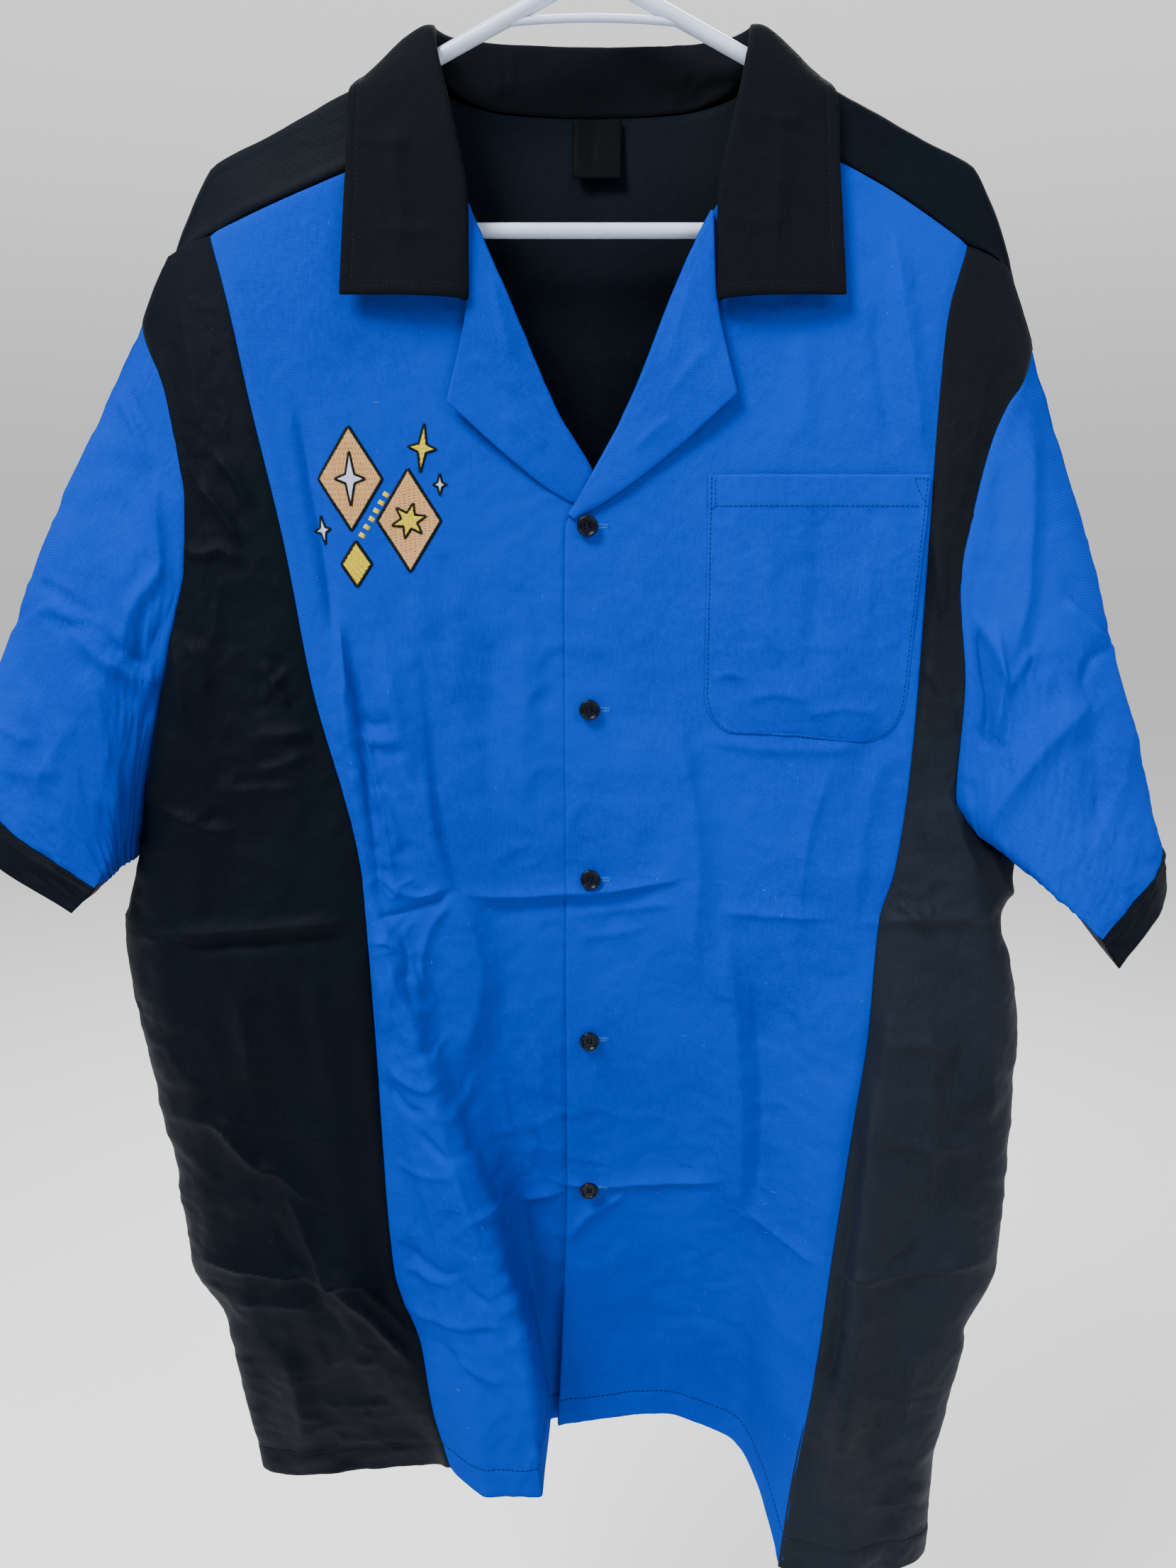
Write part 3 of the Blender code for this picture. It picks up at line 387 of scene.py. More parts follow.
def sleeve(side, turns, ws):
    """Sleeve from the armhole (w 0) to the cuff seam (w 1), and its band (to 2)."""
    turns, ws = np.asarray(turns, float), np.asarray(ws, float)
    a = np.array([ARM_FRONT[side](t * 2) if t <= 0.5 else ARM_REAR[side]((1 - t) * 2) for t in turns])
    seam, edge = CUFF[side][0](turns), CUFF[side][1](turns)
    start = SLEEVE_GAP / np.linalg.norm(seam - a, axis=1)
    out = np.zeros((len(ws), len(turns), 3))
    fwd = -np.sin(2 * math.pi * turns)
    cap = 0.5 + 0.5 * np.cos(2 * math.pi * turns)
    for i, w in enumerate(ws):
        if w > 1:
            out[i] = seam + (edge - seam) * (w - 1)
            continue
        q = start * min(max(1 + w * 40, 0.0), 1.0) + (1 - start - 0.001) * w
        p = a + (seam - a) * q[:, None]
        puff = np.sin(math.pi * np.maximum(q, 0)) * 5.0
        lift = 1.7 * np.sin(math.pi * turns) ** 2 * (1 - q)
        p[:, 0] += side * (puff * cap + lift)
        p[:, 1] += (puff + lift) * fwd
        out[i] = p
    return out


def unit(v):
    return v / np.linalg.norm(v)


COLLAR_ONE = [[np.array(p, float) for p in row] for row in COLLAR]
COLLAR_ROWS = [[p * np.array((-1, 1, 1)) for p in row] for row in COLLAR_ONE[:0:-1]] + COLLAR_ONE
COLLAR_LINES = [Curve(np.linspace(0, 1, len(COLLAR_ROWS)), np.array([r[i] for r in COLLAR_ROWS])) for i in range(3)]
FOLD_AT, FOLD_R = 0.4, 1.5


def collar(ss, cs):
    """ss along the collar; cs 0 at the neck seam, 0.4 at the fold, 1 at the edge."""
    out = np.zeros((len(ss), len(cs), 3))
    for i, s in enumerate(ss):
        neck, fold, edge = (line(float(s)) for line in COLLAR_LINES)
        e = 0.004
        along = unit(COLLAR_LINES[1](float(min(s + e, 1))) - COLLAR_LINES[1](float(max(s - e, 0))))
        o, down = unit(edge - fold), unit(neck - fold)
        off = unit(np.cross(along, o))
        pts = np.array((neck, fold + down * FOLD_R * 1.3 - off * FOLD_R, fold,
                        fold + o * FOLD_R * 1.3 + off * FOLD_R, edge))
        out[i] = Curve([0, 0.34, FOLD_AT, 0.46, 1.0], pts)(np.asarray(cs, float))
    return out


def lapel(rows, ss, cs):
    """ss 0 at the gorge, 1 at the break point; cs 0 on the roll line, 1 at the
    edge, which has its corner at the third row."""
    k = np.linspace(0, 1, len(rows))
    ss = np.asarray(ss, float)
    roll = Curve(k, np.array([r[0] for r in rows]))(ss)
    edges = np.array([r[1] for r in rows])
    edge = np.where(ss[:, None] < k[2], Curve(k[:3], edges[:3])(ss), Curve(k[2:], edges[2:])(ss))
    cs = np.asarray(cs, float)
    out = roll[:, None] + (edge - roll)[:, None] * cs[None, :, None]
    out[:, :, 1] -= 0.8 * np.sin(math.pi * np.clip(cs, 0, 1))[None]
    return out


# ---- the view the cloth's creases are placed from ------------------------------
EYE = np.array((-2.5, -680.0, -353.0))
TILT = math.radians(12.5)
FOCAL, MID_U, MID_V = 1660.0, 829.5, 1106.0
AHEAD = np.array((0, math.cos(TILT), -math.sin(TILT)))
ABOVE = np.array((0, math.sin(TILT), math.cos(TILT)))


def seen(p):
    """Where a point shows in the frame: u right, v down."""
    d = np.asarray(p, float) - EYE
    far = d @ AHEAD
    return MID_U + FOCAL * d[..., 0] / far, MID_V - FOCAL * (d @ ABOVE) / far


def spot(u, v, y):
    """The point seen at u, v that has this y."""
    ray = AHEAD + np.array((1.0, 0, 0)) * ((u - MID_U) / FOCAL) + ABOVE * ((MID_V - v) / FOCAL)
    return EYE + ray * ((y - EYE[1]) / ray[1])


# ---- noise ------------------------------------------------------------------------
def lattice(seed, n=64):
    return np.random.default_rng(seed).uniform(-1, 1, (n, n))


def noise(x, y, seed=1):
    """Smooth noise about zero, one bump for each unit."""
    g = lattice(seed)
    n = g.shape[0]
    xi, yi = np.floor(x).astype(int), np.floor(y).astype(int)
    fx, fy = x - xi, y - yi
    fx = fx * fx * fx * (fx * (fx * 6 - 15) + 10)
    fy = fy * fy * fy * (fy * (fy * 6 - 15) + 10)
    a, b = g[xi % n, yi % n], g[(xi + 1) % n, yi % n]
    c, d = g[xi % n, (yi + 1) % n], g[(xi + 1) % n, (yi + 1) % n]
    return (a + (b - a) * fx) * (1 - fy) + (c + (d - c) * fx) * fy


def layered(x, y, seed=1, octaves=3, drop=0.5):
    out, k, w = 0.0, 1.0, 1.0
    for o in range(octaves):
        ang = 0.6 + o * 1.1
        xr, yr = x * math.cos(ang) - y * math.sin(ang), x * math.sin(ang) + y * math.cos(ang)
        out = out + w * noise(xr * k + 13.7 * o, yr * k + 5.1 * o, seed + o)
        k, w = k * 2.03, w * drop
    return out


def rumple(x, y, seed=1):
    """Creased noise: narrow crests between soft hollows, as in a rumpled cloth."""
    warp_x = x + 0.35 * noise(x * 1.7, y * 1.7, seed + 5)
    warp_y = y + 0.35 * noise(x * 1.7, y * 1.7, seed + 6)
    a = np.abs(layered(warp_x, warp_y, seed, 2, 0.45))
    return 0.45 - np.sqrt(a * a + 0.004)


# ---- creases -------------------------------------------------------------------------
def bent(points, step=12.0):
    """A soft line through the points."""
    p = np.asarray(points, float)
    k = np.concatenate(([0], np.cumsum(np.linalg.norm(np.diff(p, axis=0), axis=1))))
    c = Curve(k, p)
    m = np.zeros_like(p)
    m[1:-1] = (p[2:] - p[:-2]) / (k[2:] - k[:-2])[:, None]
    m[0], m[-1] = (p[1] - p[0]) / (k[1] - k[0]), (p[-1] - p[-2]) / (k[-1] - k[-2])
    c.m = m
    s = np.linspace(0, k[-1], max(3, int(k[-1] / step) + 1))
    return c(s), s / k[-1]


def creases(u, v, rows):
    """Heights at u, v of a table of lines.  A row is: height (below zero for a
    trough), width on the left of a line that goes down (below one that goes
    right), width on its other side, sharpness 0 to 1, or 2 for flat sides, and
    the points."""
    shape = u.shape
    u, v = u.ravel(), v.ravel()
    out = np.zeros(u.shape)
    for h, wl, wr, sharp, points in rows:
        line, share = bent(points)
        reach = 3.0 * max(wl, wr)
        ids = np.nonzero((u > line[:, 0].min() - reach) & (u < line[:, 0].max() + reach)
                         & (v > line[:, 1].min() - reach) & (v < line[:, 1].max() + reach))[0]
        if not len(ids):
            continue
        q = np.stack((u[ids], v[ids]), -1)
        best, side, along = np.full(len(ids), 1e9), np.zeros(len(ids)), np.zeros(len(ids))
        for i in range(len(line) - 1):
            a, d = line[i], line[i + 1] - line[i]
            t = np.clip(((q - a) @ d) / (d @ d), 0, 1)
            off = q - (a + t[:, None] * d)
            dist = np.hypot(off[:, 0], off[:, 1])
            hit = dist < best
            best[hit] = dist[hit]
            side[hit] = (off[:, 0] * d[1] - off[:, 1] * d[0])[hit] / np.linalg.norm(d)
            along[hit] = (share[i] + (share[i + 1] - share[i]) * t)[hit]
        fade = smooth(along / 0.24) * smooth((1 - along) / 0.24)
        # the two widths blend across the line, so that the crest has no step
        w = wl + (wr - wl) * smooth(0.5 + side / (1.2 * min(wl, wr)))
        x = best / w
        soft = np.exp(-x * x)
        if sharp > 1:  # flat-sided, as where stiff cloth is folded
            crest = np.clip(1.06 - np.sqrt(x * x + 0.0036) / 1.6, 0, 1) ** 1.5
            out[ids] += h * fade * crest
            continue
        crest = np.exp(-1.7 * (np.sqrt(x * x + 0.012) - 0.11))
        out[ids] += h * fade * (soft * (1 - sharp) + crest * sharp)
    return out.reshape(shape)


# ---- meshes ---------------------------------------------------------------------------
def normals(p, wrap=False):
    du = np.roll(p, -1, axis=1) - np.roll(p, 1, axis=1) if wrap else np.gradient(p, axis=1)
    n = np.cross(du, np.gradient(p, axis=0))
    return n / np.maximum(np.linalg.norm(n, axis=-1, keepdims=True), 1e-9)


def mesh_object(name, verts, faces, uvs=None, mats=(), face_mats=None):
    """faces: a list of index arrays, each with one row per face."""
    me = bpy.data.meshes.new(name)
    verts = np.asarray(verts, float) * MM
    me.vertices.add(len(verts))
    me.vertices.foreach_set("co", verts.ravel())
    sizes = np.concatenate([np.full(len(f), f.shape[1]) for f in faces])
    flat = np.concatenate([f.ravel() for f in faces]).astype(np.int32)
    me.loops.add(len(flat))
    me.loops.foreach_set("vertex_index", flat)
    me.polygons.add(len(sizes))
    me.polygons.foreach_set("loop_start", np.concatenate(([0], np.cumsum(sizes)[:-1])).astype(np.int32))
    me.polygons.foreach_set("use_smooth", np.ones(len(sizes), bool))
    for m in mats:
        me.materials.append(m)
    if face_mats is not None:
        me.polygons.foreach_set("material_index", np.asarray(face_mats, np.int32))
    if uvs is not None:
        layer = me.uv_layers.new(name="cloth")
        layer.data.foreach_set("uv", np.asarray(uvs, float)[flat].astype(np.float32).ravel())
    me.update(calc_edges=True)
    ob = bpy.data.objects.new(name, me)
    bpy.context.scene.collection.objects.link(ob)
    return ob


def turned_out(ob, face, direction):
    """All faces turned the same way, the numbered one along a direction."""
    bm = bmesh.new()
    bm.from_mesh(ob.data)
    bmesh.ops.recalc_face_normals(bm, faces=bm.faces)
    bm.faces.ensure_lookup_table()
    if bm.faces[face].normal @ Vector(direction) < 0:
        bmesh.ops.reverse_faces(bm, faces=bm.faces)
    bm.to_mesh(ob.data)
    bm.free()
    return ob


def shell(name, base, n, out, inn, mat, uv, wrap=False):
    """A closed cloth shell: a fine outer skin, an inner skin with every second
    line, and a rounded edge between them.  Rows, and columns that don't wrap,
    come in odd counts; columns that wrap in even ones."""
    rows, cols = base.shape[:2]
    outer = base + n * (np.zeros((rows, cols)) + out)[..., None]
    inner = base + n * (np.zeros((rows, cols)) + inn)[..., None]
    pick = np.ix_(np.arange(0, rows, 2), np.arange(0, cols, 2))
    nr, nc = len(pick[0]), pick[1].shape[1]
    o_id = np.arange(rows * cols).reshape(rows, cols)
    i_id = rows * cols + np.arange(nr * nc).reshape(nr, nc)

    def quads(ids):
        if wrap:
            ids = np.concatenate((ids, ids[:, :1]), axis=1)
        return np.stack((ids[:-1, :-1], ids[:-1, 1:], ids[1:, 1:], ids[1:, :-1]), -1).reshape(-1, 4)

    # which way is off the sheet, at its edges
    off = np.zeros_like(base)
    off[0] += base[0] - base[1]
    off[-1] += base[-1] - base[-2]
    if not wrap:
        off[:, 0] += base[:, 0] - base[:, 1]
        off[:, -1] += base[:, -1] - base[:, -2]
    off = off / np.maximum(np.linalg.norm(off, axis=-1, keepdims=True), 1e-9)
    flat_off = off.reshape(-1, 3)
    verts = [outer.reshape(-1, 3), inner[pick].reshape(-1, 3)]
    uvs = [uv.reshape(-1, 2), uv[pick].reshape(-1, 2)]
    count = rows * cols + nr * nc
    allv = np.concatenate(verts)
    if wrap:
        loops = [(o_id[0], i_id[0]), (o_id[-1], i_id[-1])]
    else:
        def round_it(g):
            return np.concatenate((g[0, :-1], g[:-1, -1], g[-1, :0:-1], g[:0:-1, 0]))
        loops = [(round_it(o_id), round_it(i_id))]
    tris = []
    for fo, io in loops:
        m = len(io)
        op, ip = allv[fo[::2]], allv[io]
        thick = np.linalg.norm(op - ip, axis=1)
        verts.append((op + ip) / 2 + flat_off[fo[::2]] * (thick * 0.38)[:, None])
        uvs.append(uv.reshape(-1, 2)[fo[::2]])
        a = count + np.arange(m)
        b = np.roll(a, -1)
        count += m
        f0, f1, f2 = fo[::2], fo[1::2], np.roll(fo[::2], -1)
        i0, i1 = io, np.roll(io, -1)
        for t in ((f0, a, f1), (f1, a, b), (f1, b, f2), (a, i0, i1), (a, i1, b)):
            tris.append(np.stack(t, -1))
    ob = mesh_object(name, np.concatenate(verts), [quads(o_id), quads(i_id), np.concatenate(tris)],
                     np.concatenate(uvs), [mat])
    k = (rows // 2, cols // 2)
    wide = cols if wrap else cols - 1
    return turned_out(ob, k[0] * wide + k[1], n[k])


def lengths(p):
    """Cloth coordinates in metres: along the middle row across, down the columns."""
    across_d = np.linalg.norm(np.diff(p, axis=1), axis=-1).mean(axis=0)
    down_d = np.linalg.norm(np.diff(p, axis=0), axis=-1).mean(axis=1)
    uu = np.concatenate(([0], np.cumsum(across_d)))
    vv = np.concatenate(([0], np.cumsum(down_d)))
    return np.stack(np.meshgrid(uu, -vv), -1) * MM


def odd(n):
    return int(n) | 1


class Skin:
    """A shell's outer skin, to lay things on."""

    def __init__(self, p, n):
        self.p, self.n = p, n
        rows, cols = p.shape[:2]
        ids = np.arange(rows * cols).reshape(rows, cols)
        q = np.stack((ids[:-1, :-1], ids[:-1, 1:], ids[1:, 1:], ids[1:, :-1]), -1).reshape(-1, 4)
        self.tree = BVHTree.FromPolygons([tuple(v) for v in p.reshape(-1, 3)], [tuple(int(i) for i in f) for f in q])

    def at(self, i, j):
        """Point and normal at a fractional row and column."""
        rows, cols = self.p.shape[:2]
        i, j = np.clip(i, 0, rows - 1.001), np.clip(j, 0, cols - 1.001)
        a, b = np.floor(i).astype(int), np.floor(j).astype(int)
        fa, fb = (i - a)[..., None], (j - b)[..., None]
        out = []
        for g in (self.p, self.n):
            out.append((g[a, b] * (1 - fb) + g[a, b + 1] * fb) * (1 - fa) + (g[a + 1, b] * (1 - fb) + g[a + 1, b + 1] * fb) * fa)
        out[1] = out[1] / np.linalg.norm(out[1], axis=-1, keepdims=True)
        return out

    def hit(self, x, z, y=-300.0, ahead=1.0):
        """Point and normal met from the front (or, with ahead -1, from behind)."""
        p, n, _, _ = self.tree.ray_cast(Vector((x, y, z)), Vector((0, ahead, 0)))
        if p is None:
            return None
        n = np.array(n)
        return np.array(p), n if n[1] * ahead < 0 else -n

    def met(self, u, v):
        """Point and normal met by the line of sight through u, v."""
        far = spot(u, v, 0.0) - EYE
        p, n, _, _ = self.tree.ray_cast(Vector(EYE), Vector(unit(far)))
        if p is None:
            return None
        n = np.array(n)
        return np.array(p), n if n @ far < 0 else -n


def sewn(name, base, n, height, mat, ply=PLY, inner_extra=0.0, wrap=False):
    """A shell on a form whose outer face stands FACE + height off it."""
    top = base + n * (np.zeros(base.shape[:2]) + FACE + height)[..., None]
    ob = shell(name, base, n, FACE + height, FACE + height - ply - inner_extra, mat, lengths(base), wrap)
    fine = normals(top, wrap)
    if np.sum(fine * n) < 0:
        fine = -fine
    return ob, Skin(top, fine)


# ---- looks -------------------------------------------------------------------------
def look(name):
    mat = bpy.data.materials.new(name)
    mat.use_nodes = True
    nt = mat.node_tree
    return mat, nt, nt.nodes["Principled BSDF"]


def add(nt, kind, **values):
    node = nt.nodes.new(kind)
    for key, value in values.items():
        if key.startswith("in_"):
            node.inputs[key[3:].replace("_", " ")].default_value = value
        else:
            setattr(node, key, value)
    return node


def ramp(nt, source, stops):
    r = nt.nodes.new("ShaderNodeValToRGB")
    while len(r.color_ramp.elements) < len(stops):
        r.color_ramp.elements.new(0.5)
    for e, (at, colour) in zip(r.color_ramp.elements, stops):
        e.position = at
        e.color = colour if len(colour) == 4 else (*colour, 1)
    nt.links.new(source, r.inputs["Fac"])
    return r.outputs["Color"]


def cloth(name, dark, light, sheen, tint, rough=0.86, slub=0.45, spec=0.25, twill=0.7, fade=None):
    """Twill: fine diagonal ribs, slubs along the warp, uneven dye and soft wear."""
    mat, nt, bsdf = look(name)
    link = nt.links.new
    uv = add(nt, "ShaderNodeUVMap", uv_map="cloth")
    place = add(nt, "ShaderNodeTexCoord")
    # dye: broad and fine unevenness
    broad = add(nt, "ShaderNodeTexNoise", in_Scale=9.0, in_Detail=4.0, in_Roughness=0.6)
    link(place.outputs["Object"], broad.inputs["Vector"])
    fine = add(nt, "ShaderNodeTexNoise", in_Scale=420.0, in_Detail=3.0, in_Roughness=0.7)
    link(place.outputs["Object"], fine.inputs["Vector"])
    # warp streaks: long down the cloth
    stretch = add(nt, "ShaderNodeMapping")
    stretch.inputs["Scale"].default_value = (1500.0, 90.0, 1.0)
    link(uv.outputs["UV"], stretch.inputs["Vector"])
    streak = add(nt, "ShaderNodeTexNoise", in_Scale=1.0, in_Detail=2.0, in_Roughness=0.5)
    link(stretch.outputs["Vector"], streak.inputs["Vector"])
    mix1 = add(nt, "ShaderNodeMath", operation="MULTIPLY_ADD")
    mix1.inputs[1].default_value = 0.45
    link(fine.outputs["Fac"], mix1.inputs[0])
    link(broad.outputs["Fac"], mix1.inputs[2])
    mix2 = add(nt, "ShaderNodeMath", operation="MULTIPLY_ADD")
    mix2.inputs[1].default_value = slub
    link(streak.outputs["Fac"], mix2.inputs[0])
    link(mix1.outputs[0], mix2.inputs[2])
    colour = ramp(nt, mix2.outputs[0], [(0.62, dark), (1.12 if 1.12 < 1 else 0.98, light)])
    if fade:  # painted sheen: the colour scaled from darker near the top to lighter further down the cloth
        height = add(nt, "ShaderNodeSeparateXYZ")
        link(place.outputs["Object"], height.inputs[0])
        drop = add(nt, "ShaderNodeMapRange", interpolation_type="SMOOTHSTEP")
        drop.inputs["From Min"].default_value, drop.inputs["From Max"].default_value = fade[0], fade[1]
        drop.inputs["To Min"].default_value, drop.inputs["To Max"].default_value = fade[2], fade[3]
        link(height.outputs["Z"], drop.inputs["Value"])
        painted_sheen_colour = add(nt, "ShaderNodeVectorMath", operation="SCALE")
        link(colour, painted_sheen_colour.inputs[0])
        link(drop.outputs["Result"], painted_sheen_colour.inputs["Scale"])
        colour = painted_sheen_colour.outputs["Vector"]
    link(colour, bsdf.inputs["Base Color"])
    # twill ribs and slubs in the surface
    diag = add(nt, "ShaderNodeMapping")
    diag.inputs["Rotation"].default_value = (0, 0, math.radians(62))
    diag.inputs["Scale"].default_value = (1.0, 1.0, 1.0)
    link(uv.outputs["UV"], diag.inputs["Vector"])
    ribs = add(nt, "ShaderNodeTexWave", wave_type="BANDS", bands_direction="X", in_Scale=340.0,
               in_Distortion=1.2, in_Detail=2.0, in_Detail_Scale=1.5)
    link(diag.outputs["Vector"], ribs.inputs["Vector"])
    b1 = add(nt, "ShaderNodeBump", in_Strength=twill, in_Distance=0.00012)
    link(ribs.outputs["Fac"], b1.inputs["Height"])
    b2 = add(nt, "ShaderNodeBump", in_Strength=0.55, in_Distance=0.00022)
    link(streak.outputs["Fac"], b2.inputs["Height"])
    link(b1.outputs["Normal"], b2.inputs["Normal"])
    small = add(nt, "ShaderNodeTexNoise", in_Scale=160.0, in_Detail=3.0, in_Roughness=0.6)
    link(place.outputs["Object"], small.inputs["Vector"])
    b3 = add(nt, "ShaderNodeBump", in_Strength=0.5, in_Distance=0.0007)
    link(small.outputs["Fac"], b3.inputs["Height"])
    link(b2.outputs["Normal"], b3.inputs["Normal"])
    link(b3.outputs["Normal"], bsdf.inputs["Normal"])
    worn = ramp(nt, broad.outputs["Fac"], [(0.3, (rough - 0.06,) * 3), (0.7, (rough + 0.05,) * 3)])
    link(worn, bsdf.inputs["Roughness"])
    bsdf.inputs["Specular IOR Level"].default_value = spec
    bsdf.inputs["Sheen Weight"].default_value = sheen
    bsdf.inputs["Sheen Roughness"].default_value = 0.45
    bsdf.inputs["Sheen Tint"].default_value = (*tint, 1)
    return mat


def thread(name, dark, light, rough=0.6, sheen=0.3):
    """Sewing and embroidery thread: a twist along it and small changes of colour."""
    mat, nt, bsdf = look(name)
    link = nt.links.new
    place = add(nt, "ShaderNodeTexCoord")
    n = add(nt, "ShaderNodeTexNoise", in_Scale=900.0, in_Detail=2.0)
    link(place.outputs["Object"], n.inputs["Vector"])
    link(ramp(nt, n.outputs["Fac"], [(0.3, dark), (0.7, light)]), bsdf.inputs["Base Color"])
    b = add(nt, "ShaderNodeBump", in_Strength=0.6, in_Distance=0.0002)
    link(n.outputs["Fac"], b.inputs["Height"])
    link(b.outputs["Normal"], bsdf.inputs["Normal"])
    link(ramp(nt, n.outputs["Fac"], [(0.2, (rough - 0.08,) * 3), (0.8, (rough + 0.1,) * 3)]), bsdf.inputs["Roughness"])
    bsdf.inputs["Sheen Weight"].default_value = sheen
    bsdf.inputs["Specular IOR Level"].default_value = 0.15
    return mat


def moulded(name, dark, light, rough_a, rough_b, scale, bump, spec=0.5):
    """Moulded plastic with faint flow marks, scuffs and dust."""
    mat, nt, bsdf = look(name)
    link = nt.links.new
    place = add(nt, "ShaderNodeTexCoord")
    n = add(nt, "ShaderNodeTexNoise", in_Scale=scale, in_Detail=5.0, in_Roughness=0.65)
    link(place.outputs["Object"], n.inputs["Vector"])
    link(ramp(nt, n.outputs["Fac"], [(0.35, dark), (0.65, light)]), bsdf.inputs["Base Color"])
    link(ramp(nt, n.outputs["Fac"], [(0.3, (rough_a,) * 3), (0.7, (rough_b,) * 3)]), bsdf.inputs["Roughness"])
    f = add(nt, "ShaderNodeTexNoise", in_Scale=scale * 14, in_Detail=3.0)
    link(place.outputs["Object"], f.inputs["Vector"])
    b = add(nt, "ShaderNodeBump", in_Strength=bump, in_Distance=0.0003)
    link(f.outputs["Fac"], b.inputs["Height"])
    link(b.outputs["Normal"], bsdf.inputs["Normal"])
    bsdf.inputs["Specular IOR Level"].default_value = spec
    return mat


BLUE = cloth("blue_twill_look", (0.0001, 0.0230, 0.262), (0.0002, 0.0350, 0.335), 0.0, (0.25, 0.55, 1.0), spec=0.02)
BLACK = cloth("black_twill_look", (0.0004, 0.0014, 0.0036), (0.0012, 0.0030, 0.0062), 0.006, (0.55, 0.68, 0.95), rough=0.60, spec=0.042)
# painted sheen: a lighter copy of the black twill for the viewer's right flank, standing in for the lamp's sheen that
# falls there
BLACK_PAINTED_SHEEN = cloth("black_twill_painted_sheen_look", (0.0030, 0.0047, 0.0082), (0.0058, 0.0086, 0.0140), 0.012, (0.55, 0.68, 0.95), rough=0.60, spec=0.055, fade=(-0.34, -0.56, 0.45, 1.25))
COLLAR_BLACK = cloth("collar_twill_look", (0.0014, 0.0019, 0.0032), (0.0029, 0.0036, 0.0054), 0.010, (0.75, 0.74, 0.72), rough=0.88, spec=0.05)
SATIN = cloth("label_satin_look", (0.0003, 0.0005, 0.0011), (0.0008, 0.0011, 0.0020), 0.0, (0.6, 0.6, 0.65), rough=0.60, twill=0.8, spec=0.035)
HORN = moulded("button_look", (0.0004, 0.0015, 0.0055), (0.0011, 0.0030, 0.0095), 0.20, 0.32, 260.0, 0.10, spec=0.18)
PLASTIC = moulded("hanger_look", (0.45, 0.53, 0.71), (0.55, 0.63, 0.81), 0.24, 0.40, 30.0, 0.10)
BLUE_THREAD = thread("blue_thread", (0.0002, 0.010, 0.095), (0.0005, 0.020, 0.150), sheen=0.0)
DARK_THREAD = thread("dark_thread", (0.0004, 0.0012, 0.008), (0.0010, 0.0030, 0.016), sheen=0.0)
BLACK_THREAD = thread("black_thread", (0.0012, 0.0016, 0.0024), (0.0040, 0.0045, 0.0060), sheen=0.0)
PALE_THREAD = thread("pale_blue_thread", (0.006, 0.07, 0.34), (0.016, 0.11, 0.46), sheen=0.0)
YELLOW_THREAD = thread("yellow_thread", (0.52, 0.40, 0.010), (0.70, 0.56, 0.02), sheen=0.0)
TAN_THREAD = thread("tan_thread", (0.46, 0.26, 0.10), (0.58, 0.35, 0.15), sheen=0.0)
WHITE_THREAD = thread("white_thread", (0.44, 0.48, 0.60), (0.56, 0.60, 0.70), sheen=0.0)
LINT_PALE = thread("pale_lint", (0.10, 0.20, 0.42), (0.24, 0.36, 0.55), sheen=0.0)
LINT_GREY = thread("grey_lint", (0.010, 0.013, 0.018), (0.05, 0.055, 0.06), sheen=0.0)
